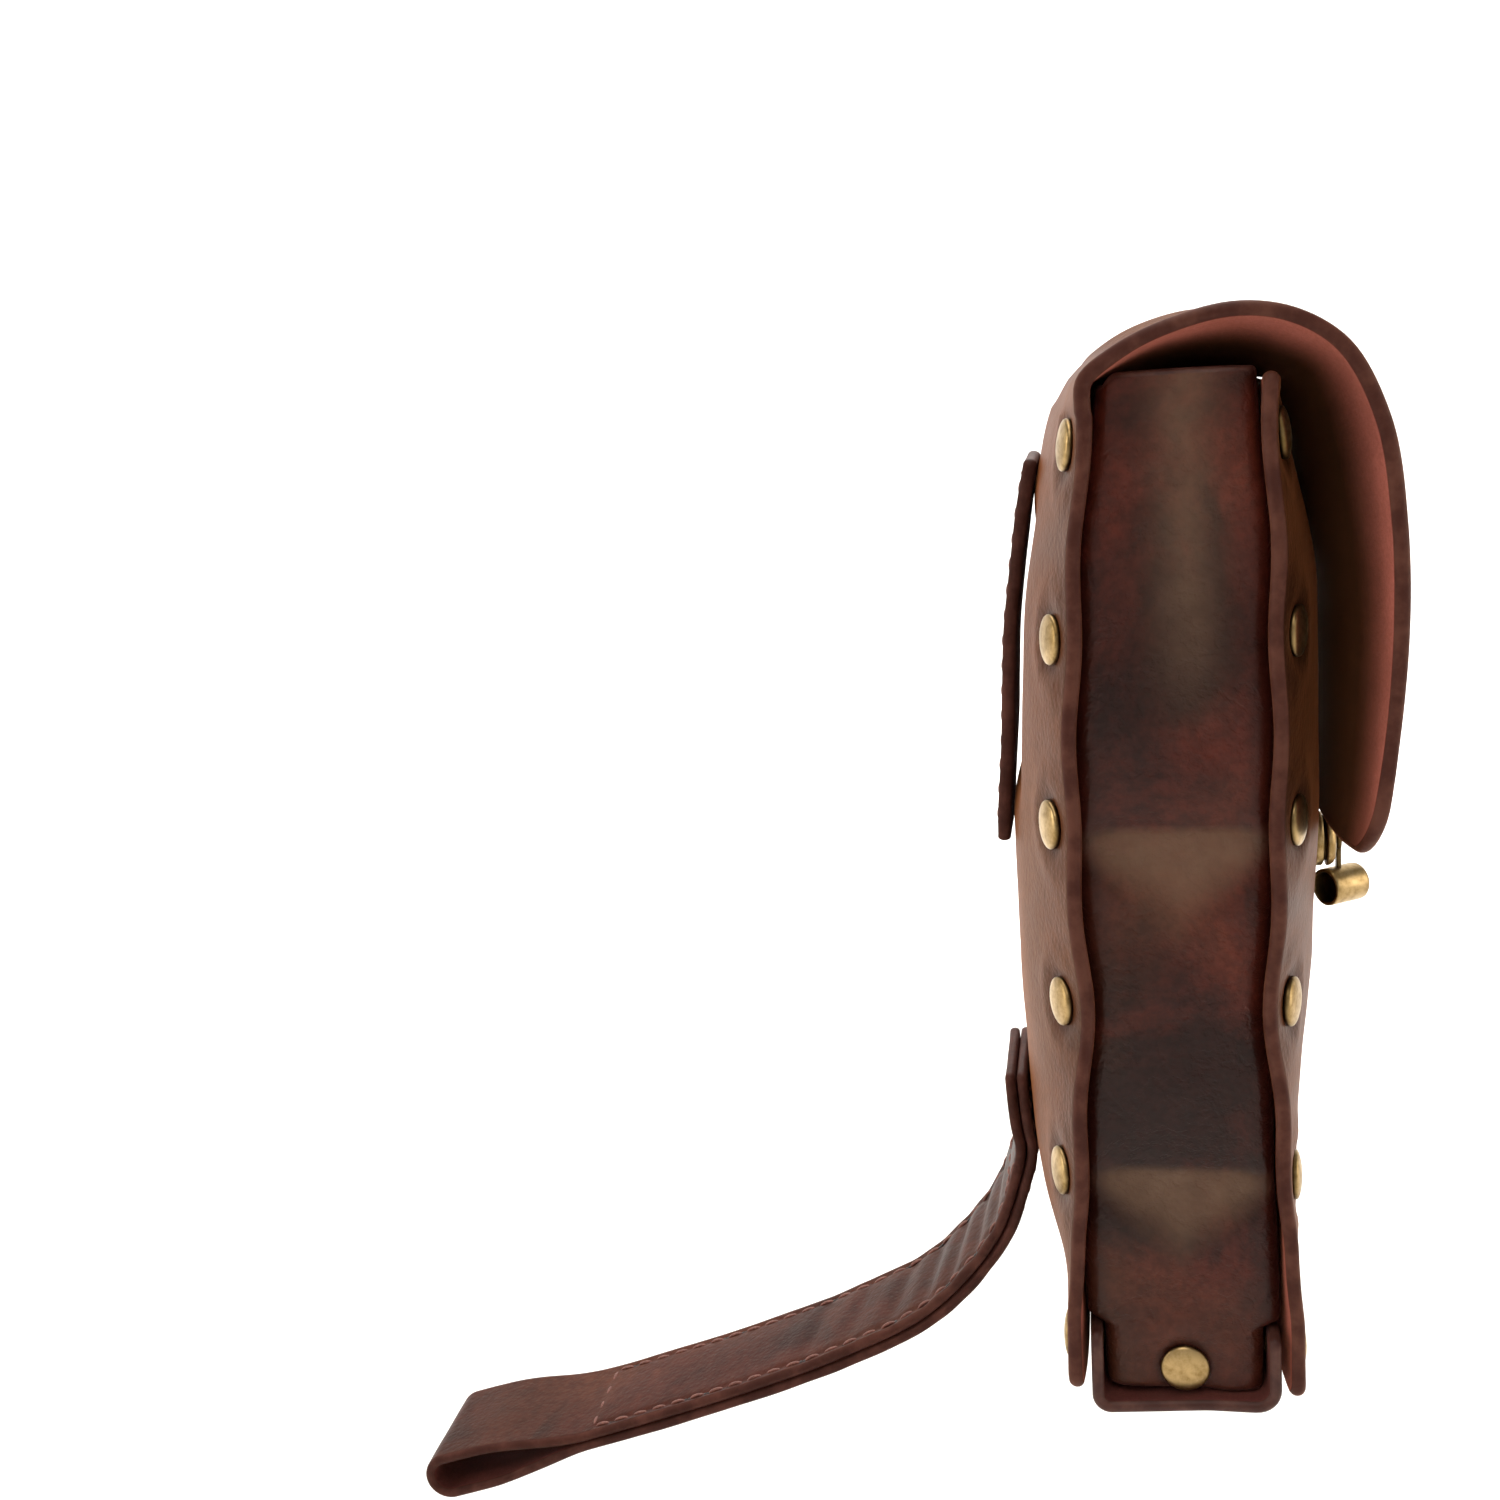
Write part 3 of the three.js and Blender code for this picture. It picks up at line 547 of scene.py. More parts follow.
def shader_group(name, inputs, outputs):
    tree = bpy.data.node_groups.new(name, "ShaderNodeTree")
    for label, kind, default in inputs:
        socket = tree.interface.new_socket(label, in_out="INPUT", socket_type=kind)
        socket.default_value = default
    for label, kind in outputs:
        tree.interface.new_socket(label, in_out="OUTPUT", socket_type=kind)
    return tree, tree.nodes.new("NodeGroupInput").outputs, tree.nodes.new("NodeGroupOutput").inputs


FLOAT = "NodeSocketFloat"
COLOUR = "NodeSocketColor"


# Grain of smooth leather: fine pebbles, pores and long soft wrinkles
PEBBLE_SHARE = 0.28
PORE_SHARE = 0.14
PORE_SCALE = 2600.0
WARP_SCALE = 35.0
WARP_REACH = (0.012, 0.012, 0.012)
WRINKLE_WIDTH = 0.06


def make_leather_grain():
    tree, given, result = shader_group(
        "leather_grain",
        [("Pebble scale", FLOAT, 900.0), ("Wrinkle scale", FLOAT, 120.0), ("Wrinkle", FLOAT, 0.5)],
        [("Height", FLOAT)],
    )
    place_on = object_place(tree)
    pebbles = node(
        tree, "ShaderNodeTexVoronoi",
        {"Vector": place_on, "Scale": given["Pebble scale"], "Smoothness": 0.6}, feature="SMOOTH_F1",
    ).outputs["Distance"]
    pores = speckle(tree, place_on, PORE_SCALE, 3.0)
    warp = speckle(tree, place_on, WARP_SCALE, 2.0, output="Color")
    bent = node(tree, "ShaderNodeVectorMath", {0: warp, 1: WARP_REACH}, operation="MULTIPLY").outputs[0]
    shifted = node(tree, "ShaderNodeVectorMath", {0: place_on, 1: bent}, operation="ADD").outputs[0]
    long_noise = speckle(tree, shifted, given["Wrinkle scale"], 5.0, 0.62)
    ridge = calc(tree, "ABSOLUTE", calc(tree, "SUBTRACT", long_noise, 0.5))
    wrinkle = band(tree, ridge, 0.0, WRINKLE_WIDTH)
    pebble_part = calc(tree, "MULTIPLY", calc(tree, "SUBTRACT", 1.0, pebbles), PEBBLE_SHARE)
    pore_part = calc(tree, "MULTIPLY", pores, PORE_SHARE)
    wrinkle_part = calc(tree, "MULTIPLY", wrinkle, given["Wrinkle"])
    total = calc(tree, "ADD", calc(tree, "ADD", pebble_part, pore_part), wrinkle_part)
    tree.links.new(total, result["Height"])
    return tree


# Uneven dye of waxed leather: a dark ground, a redder middle and olive patches
MIDDLE_BAND = (0.34, 0.56)
LIGHT_BAND = (0.52, 0.72)
PATCH_BAND = (0.5, 0.68)
PATCH_SCALE = 13.0
SPECK_SCALE = 420.0
SPECK_BAND = (0.35, 0.65)
SPECK_TONES = (0.82, 1.16)


def make_waxed_dye():
    tree, given, result = shader_group(
        "waxed_dye",
        [
            ("Dark", COLOUR, colour("1d0e0a")), ("Middle", COLOUR, colour("3a1d15")),
            ("Light", COLOUR, colour("57301e")), ("Patch", COLOUR, colour("42331f")),
            ("Cloud scale", FLOAT, 22.0), ("Patch amount", FLOAT, 0.5),
        ],
        [("Color", COLOUR), ("Cloud", FLOAT)],
    )
    place_on = object_place(tree)
    cloud = speckle(tree, place_on, given["Cloud scale"], 6.0, 0.62, 0.6)
    speck = speckle(tree, place_on, SPECK_SCALE, 4.0, 0.7)
    patch = speckle(tree, place_on, PATCH_SCALE, 3.0)
    ground = mix_colour(tree, band(tree, cloud, *MIDDLE_BAND), given["Dark"], given["Middle"])
    lighter = mix_colour(tree, band(tree, cloud, *LIGHT_BAND), ground, given["Light"])
    patched = calc(tree, "MULTIPLY", band(tree, patch, *PATCH_BAND), given["Patch amount"])
    with_patch = mix_colour(tree, patched, lighter, given["Patch"])
    specks = band(tree, speck, *SPECK_BAND, *SPECK_TONES)
    tree.links.new(mix_colour(tree, 1.0, with_patch, specks, "MULTIPLY"), result["Color"])
    tree.links.new(cloud, result["Cloud"])
    return tree


# Tarnish of brass: small spots on broad dull places
BROAD_SCALE = 140.0
SPOT_SHARE = 0.6
BROAD_SHARE = 0.5
DULL_BAND = (0.42, 0.72)
BRASS_ROUGH_BAND = (0.3, 0.8)
BRASS_ROUGHNESS = (0.3, 0.46)


def make_brass_patina():
    tree, given, result = shader_group(
        "brass_patina",
        [
            ("Bright", COLOUR, colour("b59a6c")), ("Dull", COLOUR, colour("8c7348")),
            ("Spot scale", FLOAT, 700.0),
        ],
        [("Color", COLOUR), ("Roughness", FLOAT), ("Height", FLOAT)],
    )
    place_on = object_place(tree)
    spots = speckle(tree, place_on, given["Spot scale"], 5.0, 0.65)
    broad = speckle(tree, place_on, BROAD_SCALE, 2.0)
    spot_part = calc(tree, "MULTIPLY", spots, SPOT_SHARE)
    both = calc(tree, "ADD", spot_part, calc(tree, "MULTIPLY", broad, BROAD_SHARE))
    dull = band(tree, both, *DULL_BAND)
    tree.links.new(mix_colour(tree, dull, given["Bright"], given["Dull"]), result["Color"])
    tree.links.new(band(tree, both, *BRASS_ROUGH_BAND, *BRASS_ROUGHNESS), result["Roughness"])
    tree.links.new(spots, result["Height"])
    return tree


LEATHER_GRAIN = make_leather_grain()
WAXED_DYE = make_waxed_dye()
BRASS_PATINA = make_brass_patina()


def use_group(tree, group, values):
    return node(tree, "ShaderNodeGroup", values, node_tree=group).outputs


def new_material(name, base, roughness):
    material = bpy.data.materials.new(name)
    material.use_nodes = True
    material.diffuse_color = base
    tree = material.node_tree
    shader = tree.nodes["Principled BSDF"]
    shader.inputs["Roughness"].default_value = roughness
    return material, tree, shader


def mix_heights(tree, factor, a, b):
    return node(tree, "ShaderNodeMix", {0: factor, 2: a, 3: b}, data_type="FLOAT").outputs[0]


# Leather with a grained face, a painted edge and a suede inner side
SHEEN_TINT = colour("b87044")
SHEEN_ROUGHNESS = 0.4
COAT = 0.02
COAT_ROUGHNESS = 0.3
SHADED_BROWN = colour("0a0504")
PAINTED_SHEEN_SHARE = 0.7
BURNISH_AND_SHADE_SHARE = 0.75
PAINT_SCALE = 160.0
NAP_SCALE = 1500.0
BROAD_NAP_SCALE = 60.0
NAP_BAND = (0.3, 0.65)
NAP_TONES = (0.72, 1.2)
EDGE_BAND = (0.35, 0.75)
INNER_BAND = (0.4, 0.6)
CLOUD_BAND = (0.3, 0.7)
SUEDE_ROUGHER = 0.5
EDGE_ROUGHER = 0.04


def leather_material(name, dye, edge, edge_light, suede, wrinkle, gloss, shine, glow):
    material, tree, shader = new_material(name, dye["Middle"], 0.4)
    rim = mask_value(tree, "rim")
    edge_mask = band(tree, rim, *EDGE_BAND)
    inner_mask = band(tree, mask_value(tree, "inside"), *INNER_BAND)
    # Painted shade: on the front under the flap and inside the flap's suede
    painted_shade = mask_value(tree, "deep")
    grain = use_group(tree, LEATHER_GRAIN, {"Wrinkle": wrinkle})
    face = use_group(tree, WAXED_DYE, {key: value for key, value in dye.items() if key != "Worn"})
    place_on = object_place(tree)
    paint_noise = speckle(tree, place_on, PAINT_SCALE, 4.0, 0.6)
    nap = speckle(tree, place_on, NAP_SCALE, 6.0, 0.75)
    broad_nap = speckle(tree, place_on, BROAD_NAP_SCALE, 3.0)
    patchy = band(tree, paint_noise, 0.25, 0.7, 0.7, 1.0)
    # Painted sheen: a lighter colour on the gussets' crease slopes and stripe, broken up by noise
    painted_sheen = calc(tree, "MULTIPLY", mask_value(tree, "painted_sheen"), PAINTED_SHEEN_SHARE)
    sheen_share = calc(tree, "MULTIPLY", painted_sheen, patchy)
    with_sheen = mix_colour(tree, sheen_share, face["Color"], dye["Worn"])
    # Darker dye where rivet rims burnish the leather, with painted shade at the gussets' foot and sides
    burnish_and_shade = calc(tree, "MULTIPLY", mask_value(tree, "burnish_tarnish_and_shade"), BURNISH_AND_SHADE_SHARE)
    burnished_and_shaded = mix_colour(tree, burnish_and_shade, with_sheen, dye["Dark"])
    painted_shadow = mix_colour(tree, painted_shade, burnished_and_shaded, SHADED_BROWN)
    paint = mix_colour(tree, band(tree, paint_noise, 0.35, 0.7), edge, edge_light)
    nap_tone = calc(tree, "ADD", calc(tree, "MULTIPLY", nap, 0.5), calc(tree, "MULTIPLY", broad_nap, 0.4))
    shaded_suede = mix_colour(tree, painted_shade, suede, SHADED_BROWN)
    nap_light = band(tree, nap_tone, *NAP_BAND, *NAP_TONES)
    suede_colour = mix_colour(tree, 1.0, shaded_suede, nap_light, "MULTIPLY")
    body = mix_colour(tree, inner_mask, painted_shadow, suede_colour)
    tree.links.new(mix_colour(tree, edge_mask, body, paint), shader.inputs["Base Color"])
    face_rough = band(tree, face["Cloud"], *CLOUD_BAND, gloss - 0.05, gloss + 0.08)
    rough_inner = calc(tree, "ADD", calc(tree, "MULTIPLY", inner_mask, SUEDE_ROUGHER), face_rough, clamp=True)
    edge_rough = calc(tree, "MULTIPLY", edge_mask, EDGE_ROUGHER)
    tree.links.new(calc(tree, "ADD", rough_inner, edge_rough, clamp=True), shader.inputs["Roughness"])
    height = mix_heights(tree, inner_mask, grain["Height"], nap)
    smooth_edge = calc(tree, "MULTIPLY", height, band(tree, rim, 0.3, 0.8, 1.0, 0.25))
    raise_bump(tree, shader, smooth_edge, 0.8, 0.00035)
    face_coat = calc(tree, "MULTIPLY", calc(tree, "SUBTRACT", 1.0, inner_mask), COAT)
    tree.links.new(face_coat, shader.inputs["Coat Weight"])
    shader.inputs["Specular IOR Level"].default_value = shine
    shader.inputs["Coat Roughness"].default_value = COAT_ROUGHNESS
    shader.inputs["Sheen Weight"].default_value = glow
    shader.inputs["Sheen Roughness"].default_value = SHEEN_ROUGHNESS
    shader.inputs["Sheen Tint"].default_value = SHEEN_TINT
    return material


def brass_material():
    material, tree, shader = new_material("antique_brass", colour("a58544"), 0.3)
    patina = use_group(tree, BRASS_PATINA, {})
    tarnished = mix_colour(tree, mask_value(tree, "burnish_tarnish_and_shade"), patina["Color"], colour("3a2a14"))
    tree.links.new(tarnished, shader.inputs["Base Color"])
    tree.links.new(patina["Roughness"], shader.inputs["Roughness"])
    shader.inputs["Metallic"].default_value = 1.0
    raise_bump(tree, shader, patina["Height"], 0.25, 0.0001)
    return material


def thread_material():
    material, tree, shader = new_material("waxed_thread", colour("6e4236"), 0.62)
    fibre = speckle(tree, object_place(tree), 1800.0, 4.0, 0.7)
    strand = mix_colour(tree, band(tree, fibre, 0.35, 0.65), colour("57312a"), colour("7d4c40"))
    # Painted shade in the stitch holes
    hole = mask_value(tree, "burnish_tarnish_and_shade")
    tree.links.new(mix_colour(tree, hole, strand, colour("0e0705")), shader.inputs["Base Color"])
    raise_bump(tree, shader, fibre, 0.6, 0.0002)
    return material


def dye(dark, middle, light, patch, painted_sheen, cloud_scale, patch_amount):
    colours = {"Dark": dark, "Middle": middle, "Light": light, "Patch": patch, "Worn": painted_sheen}
    codes = {key: colour(code) for key, code in colours.items()}
    return {**codes, "Cloud scale": cloud_scale, "Patch amount": patch_amount}


PANEL_LEATHER = leather_material(
    "panel_leather", dye("2c160d", "4a2917", "5f3a20", "4c3722", "6b5040", 14.0, 0.3),
    edge=colour("40221c"), edge_light=colour("57352b"), suede=colour("a55e53"),
    wrinkle=0.05, gloss=0.48, shine=0.08, glow=0.36,
)
GUSSET_LEATHER = leather_material(
    "gusset_leather", dye("220b07", "4c1e14", "632e1f", "432e1d", "775d4b", 26.0, 0.6),
    edge=colour("3e221d"), edge_light=colour("55362e"), suede=colour("5c2f29"),
    wrinkle=0.24, gloss=0.34, shine=0.2, glow=0.0,
)
STRAP_LEATHER = leather_material(
    "strap_leather", dye("28120d", "432119", "552f23", "402a1e", "5a3a2c", 26.0, 0.35),
    edge=colour("3a1f19"), edge_light=colour("502f27"), suede=colour("5a3029"),
    wrinkle=0.08, gloss=0.46, shine=0.07, glow=0.0,
)
BRASS = brass_material()
THREAD = thread_material()


# Columns across a sheet as shares of its half width, closer together at both edges
NEAR_EDGE = (0.0, 0.9, 2.0, 3.4)
PLAIN_FROM_EDGE = 5.0


def edge_columns(count):
    near = np.array(NEAR_EDGE) / HALF_WIDTH
    plain = 1 - PLAIN_FROM_EDGE / HALF_WIDTH
    return np.concatenate([-1 + near, np.linspace(-plain, plain, count), (1 - near)[::-1]])


# How far a rounded corner draws the side in, by distance from the end
def corner_inset(radius, from_end):
    from_end = np.asarray(from_end, float)
    reach = np.clip(radius - from_end, 0, radius)
    return np.where(from_end >= radius, 0.0, radius - np.sqrt(np.maximum(radius**2 - reach**2, 0)))


def corner_rows(radius, steps):
    return radius * (1 - np.cos(np.arange(steps) / steps * np.pi / 2))


PANEL_ROUND = 1.1
ACROSS = edge_columns(70)
PANEL_CORNER_ROWS = 6
FLAP_CORNER_ROWS = 14
SCOOP_RISE = 26.0
PANEL_WAVES = ((26.0, 0.35), (9.0, 0.08))


def panel_heights(top):
    low = PANEL_BOTTOM + PANEL_ROUND
    corner = low + corner_rows(PANEL_CORNER - PANEL_ROUND, PANEL_CORNER_ROWS)
    start = low + PANEL_CORNER - PANEL_ROUND
    plain = np.linspace(start, top, int((top - start) / GRID_STEP) + 1)
    return np.concatenate([corner, plain])


# Places of the rivets on a panel: across and up
def rivet_spots():
    side_x = HALF_WIDTH - RIVET_INSET
    heights = [RIVET_FIRST_Z + k * RIVET_PITCH for k in range(RIVETS_PER_SIDE)]
    spots = [(sign * side_x, z) for sign in (-1, 1) for z in heights]
    return spots + [(-RIVET_MIDDLE_X, RIVET_FIRST_Z), (RIVET_MIDDLE_X, RIVET_FIRST_Z)]


SPOTS = rivet_spots()


# Dents round rivets, with a puckered ring, and the burnished leather at their rims
def rivet_relief(x, z, spots):
    relief = np.zeros_like(x)
    burnish_tarnish_and_shade = np.zeros_like(x)
    for spot_x, spot_z in spots:
        away = np.hypot(x - spot_x, z - spot_z)
        turn = np.arctan2(z - spot_z, x - spot_x)
        ring = np.exp(-(((away - DENT_RING_RADIUS) / DENT_RING_WIDTH) ** 2))
        pucker = PUCKER * np.sin(turn * 9 + spot_z) * np.sin(turn * 4 + spot_x) * ring
        relief += -DENT_DEPTH * np.exp(-((away / DENT_RADIUS) ** 2)) + DENT_RING * ring + pucker
        burnish_tarnish_and_shade = np.maximum(burnish_tarnish_and_shade, np.exp(-(((away - BURNISH_RADIUS) / BURNISH_WIDTH) ** 2)))
    return relief, burnish_tarnish_and_shade


# Rows of a panel's face from its heights, with the rivets' dents
def panel_rows(face, heights, sign, scoop=0.0):
    inset = corner_inset(PANEL_CORNER - PANEL_ROUND, heights - PANEL_BOTTOM - PANEL_ROUND)
    reach = HALF_WIDTH - PANEL_ROUND - inset
    x = sign * reach[:, None] * ACROSS[None, :]
    lowered = scoop * smoothstep(heights, FRONT_TOP - SCOOP_RISE, FRONT_TOP)
    z = heights[:, None] - lowered[:, None] * bulge(x)
    grid = np.stack([x, face(x, z), z], axis=-1)
    relief, burnish_tarnish_and_shade = rivet_relief(x, z, SPOTS)
    return grid, relief * smoothstep(HALF_WIDTH - np.abs(x), *DENT_FADE), burnish_tarnish_and_shade


def make_back_flap():
    grid, relief, burnish_tarnish_and_shade = panel_rows(back_face, panel_heights(ARCH_START), -1)
    start = (float(back_crown(ARCH_START)), float(back_edge(ARCH_START)), ARCH_START)
    line = Line([start, *FLAP_ROWS])
    end = line.length - PANEL_ROUND
    corner = FLAP_CORNER - PANEL_ROUND
    plain = np.linspace(0, end - corner, int((end - corner) / GRID_STEP) + 1)[1:]
    distances = np.concatenate([plain, (end - corner_rows(corner, FLAP_CORNER_ROWS))[::-1]])
    reach = HALF_WIDTH - PANEL_ROUND - corner_inset(corner, end - distances)
    x = -reach[:, None] * ACROSS[None, :]
    shorter = FLAP_SAG * (x / HALF_WIDTH) ** 2 * (distances[:, None] / line.length) ** 4
    at = distances[:, None] - shorter
    point = line.at(at)
    along = line.tangent(at)
    out = np.stack([along[..., 2], -along[..., 1]], axis=-1)
    out /= np.linalg.norm(out, axis=-1, keepdims=True)
    crown = point[..., 0] * bulge(x)
    flap = np.stack([x, point[..., 1] + out[..., 0] * crown, point[..., 2] + out[..., 1] * crown], axis=-1)
    whole = np.concatenate([grid, flap])
    relief = np.concatenate([relief, np.zeros(x.shape)]) + uneven(whole, PANEL_WAVES, 1)
    burnish_tarnish_and_shade = np.concatenate([burnish_tarnish_and_shade, np.zeros(x.shape)])
    # Painted shade on the flap's suede, darker away from its edges
    deep = smoothstep(HALF_WIDTH - np.abs(whole[..., 0]), *SUEDE_SHADE)
    wall = leather_wall(whole, PANEL_THICK, PANEL_ROUND, relief, burnish_tarnish_and_shade, deep)
    mesh = mesh_of("back_flap_leather", [wall])
    place("back_flap_leather", mesh, PANEL_LEATHER, "panel_leather", ["back_flap"])


# Painted shadow on the front where the flap covers it
COVERED_SHADE = 0.9
COVERED_HEIGHTS = (101.0, 112.0)


def make_front_panel():
    grid, relief, burnish_tarnish_and_shade = panel_rows(front_face, panel_heights(FRONT_TOP - PANEL_ROUND), 1, FRONT_SCOOP)
    relief = relief + uneven(grid, PANEL_WAVES, 3)
    wall = leather_wall(grid, PANEL_THICK, PANEL_ROUND, relief, burnish_tarnish_and_shade)
    # Painted shadow under the flap
    painted_shadow = COVERED_SHADE * smoothstep(grid[..., 2], *COVERED_HEIGHTS)
    wall["deep"][: painted_shadow.size] = painted_shadow.reshape(-1)
    mesh = mesh_of("front_panel_leather", [wall])
    place("front_panel_leather", mesh, PANEL_LEATHER, "panel_leather", ["front_panel"])


# Share by which a crease's slope is shorter at the sides
SLOPE_NARROWS = 0.72


# Depth of the folds: a soft hollow, or a sharp crease across with a slope under it that narrows downwards
def fold_depth(y, z):
    side = np.clip(np.abs(y) / FOLD_HALF_SPAN, 0, 1)
    depth = np.zeros_like(y)
    for fold_z, deep, above, below, sharp in GUSSET_FOLDS:
        over = np.maximum(z - fold_z, 0)
        lower = np.maximum(fold_z - z, 0)
        soft = np.where(z > fold_z, np.exp(-((over / above) ** 2)), np.exp(-((lower / below) ** 2)))
        narrowing = below * (1 - SLOPE_NARROWS * side)
        slope = np.where(z > fold_z, np.exp(-over / above), 1 - smoothstep(lower / narrowing, -0.25, 1.25))
        shape = slope * sharp + soft * (1 - sharp)
        depth += deep * shape * (1 - side ** (2 + 4 * sharp))
    return depth


# Painted sheen of a gusset: light on the slopes under its creases and a soft stripe down its upper half
STRIPE_Y = -2.5
STRIPE_HALF = 5.5
STRIPE_HEIGHTS = (122.0, 150.0)
STRIPE_SHEEN = 0.6
SHEEN_REACH = 1.25
SHEEN_NARROWS = 0.8


def gusset_painted_sheen(y, z):
    side = np.clip(np.abs(y) / FOLD_HALF_SPAN, 0, 1)
    sheen = np.exp(-(((y - STRIPE_Y) / STRIPE_HALF) ** 2)) * smoothstep(z, *STRIPE_HEIGHTS) * STRIPE_SHEEN
    for fold_z, _, _, below, sharp in GUSSET_FOLDS:
        down = np.maximum(fold_z - z, 0) / (SHEEN_REACH * below * (1 - SHEEN_NARROWS * side))
        slope = (1 - smoothstep(down, 0.2, 1.1)) * smoothstep(fold_z - z, -1.2, 1.0)
        sheen = np.maximum(sheen, sharp * slope * (1 - side**8))
    return sheen


GUSSET_ROUND = 0.9
GUSSET_LOW = PANEL_BOTTOM + 0.8
GUSSET_WAVES = ((17.0, 0.45), (7.0, 0.12))
# Heights between which the gusset narrows to go into the tray, and what is left of its flange there
TRAY_NARROWS = (TRAY_HEIGHT - 0.5, TRAY_HEIGHT + 2.0)
FLANGE_LEFT = 0.1
FLANGE_COLUMNS = 8
BEND_COLUMNS = 9
FACE_COLUMNS = 26
DOME_RISE = 30.0
# Depth from the outer face that still counts as the face, for wear and dents
FACE_REACH = 8.0
# Painted shade at the foot of a gusset and along its sides, where it meets the tray and the panels
FOOT_SHADE = 0.6
FOOT_HEIGHTS = (4.0, 34.0)
SIDE_SHADE = 0.8
SIDE_REACH = (10.0, 17.0)


def make_gussets():
    rows = int((GUSSET_TOP - GUSSET_LOW) / GUSSET_STEP) + 1
    z = np.linspace(GUSSET_LOW, GUSSET_TOP - GUSSET_ROUND, rows)
    inset = PANEL_THICK + FLANGE_GAP
    bend_x = -(GUSSET_FACE_X - FOLD_RADIUS)
    tip_x = -(GUSSET_FACE_X - FLANGE_WIDTH)
    narrow = 1 - smoothstep(z, *TRAY_NARROWS)
    tray_inner = TRAY_HALF_DEPTH - TRAY_THICK - FIT_GAP

    def side_columns(face, sign):
        corner_y = under(face, np.full_like(z, -GUSSET_FACE_X), z, inset)
        corner_y = corner_y * (1 - narrow) + sign * tray_inner * narrow
        flange = []
        for x in np.linspace(tip_x, bend_x, FLANGE_COLUMNS):
            y = under(face, np.full_like(z, x), z, inset) * (1 - narrow) + sign * tray_inner * narrow
            shown_x = x * (1 - narrow) + (bend_x + (x - bend_x) * FLANGE_LEFT) * narrow
            flange.append(np.stack([shown_x, y, z], axis=-1))
        face_y = corner_y - sign * FOLD_RADIUS
        face_x = -GUSSET_FACE_X + fold_depth(face_y, z)
        start = flange[-1]
        corner = np.stack([np.full_like(z, -GUSSET_FACE_X), corner_y, z], axis=-1)
        end = np.stack([face_x, face_y, z], axis=-1)
        fold = []
        for t in np.linspace(0, 1, BEND_COLUMNS)[1:]:
            fold.append(start * (1 - t) ** 2 + corner * 2 * t * (1 - t) + end * t**2)
        return flange + fold, face_y

    back, back_y = side_columns(back_face, 1)
    front, front_y = side_columns(front_face, -1)
    columns = back
    for t in np.linspace(0, 1, FACE_COLUMNS)[1:-1]:
        y = back_y * (1 - t) + front_y * t
        columns.append(np.stack([-GUSSET_FACE_X + fold_depth(y, z), y, z], axis=-1))
    columns += front[::-1]
    grid = np.stack(columns, axis=1)
    share = smoothstep(grid[..., 2], GUSSET_TOP - DOME_RISE, GUSSET_TOP)
    y = grid[..., 1]
    dome = GUSSET_DOME * (1 - (y / GUSSET_DOME_SPAN) ** 2) - GUSSET_BACK_DROP * smoothstep(y, *BACK_DROP_Y)
    grid[..., 2] += dome * share
    dent, burnish_tarnish_and_shade = rivet_relief(y, grid[..., 2], [(0.0, GUSSET_RIVET_Z)])
    on_face = np.abs(grid[..., 0] + GUSSET_FACE_X) < FACE_REACH
    relief = uneven(grid, GUSSET_WAVES, 5) + dent * on_face
    # Painted sheen on the gusset's face
    painted_sheen = gusset_painted_sheen(y, grid[..., 2]) * on_face
    # Painted shade at the foot and sides, carried in the same mask as the rivets' burnish
    foot = FOOT_SHADE * (1 - smoothstep(grid[..., 2], *FOOT_HEIGHTS))
    sides = SIDE_SHADE * smoothstep(np.abs(y), *SIDE_REACH)
    burnish_tarnish_and_shade = np.maximum(burnish_tarnish_and_shade, np.maximum(foot, sides))
    wall = leather_wall(grid, GUSSET_THICK, GUSSET_ROUND, relief, burnish_tarnish_and_shade * on_face, None, painted_sheen)
    for name, part in (("gusset_left", wall), ("gusset_right", mirrored(wall))):
        mesh = mesh_of(name + "_leather", [part])
        place(name + "_leather", mesh, GUSSET_LEATHER, "gusset_leather", [name])


TRAY_ROUND = 0.9
TRAY_WAVES = ((14.0, 0.12),)
TAB_WAVES = ((9.0, 0.1),)


def make_tray():
    outer, top = TRAY_HALF_DEPTH, TRAY_HEIGHT - TRAY_ROUND
    turn = np.linspace(0, np.pi / 2, 9)

    def side(radius, drop):
        low = radius - drop
        upright = [(outer, z) for z in np.linspace(top, low, 10)[:-1]]
        return upright + [(outer - radius * (1 - math.cos(a)), low - radius * math.sin(a)) for a in turn]

    front = [(-y, z) for y, z in side(TRAY_RADIUS, 0.0)]
    back = side(TRAY_BACK_RADIUS, TRAY_BACK_DROP)
    floor_y = np.linspace(front[-1][0], back[-1][0], 24)[1:-1]
    fall = TRAY_BACK_DROP * np.clip((floor_y - TRAY_LEVEL_Y) / (back[-1][0] - TRAY_LEVEL_Y), 0, 1)
    profile = np.array(front + list(zip(floor_y, -fall)) + back[::-1])
    grid = swept(profile, -edge_columns(56) * (HALF_WIDTH - TRAY_ROUND))
    tray_wall = leather_wall(grid, TRAY_THICK, TRAY_ROUND, uneven(grid, TRAY_WAVES, 7))
    tab_x = GUSSET_FACE_X - GUSSET_THICK - FIT_GAP
    y = np.linspace(TAB_HALF_WIDTH - TRAY_ROUND, -TAB_HALF_WIDTH + TRAY_ROUND, 16)
    z = np.linspace(TRAY_THICK, top, 10)
    tab = np.empty((len(z), len(y), 3))
    tab[..., 0] = -tab_x
    tab[..., 1] = y[None, :]
    tab[..., 2] = z[:, None]
    tab_wall = leather_wall(tab, TRAY_THICK, TRAY_ROUND, uneven(tab, TAB_WAVES, 8))
    mesh = mesh_of("bottom_tray_leather", [tray_wall, tab_wall, mirrored(tab_wall)])
    place("bottom_tray_leather", mesh, GUSSET_LEATHER, "gusset_leather", ["bottom_tray"])


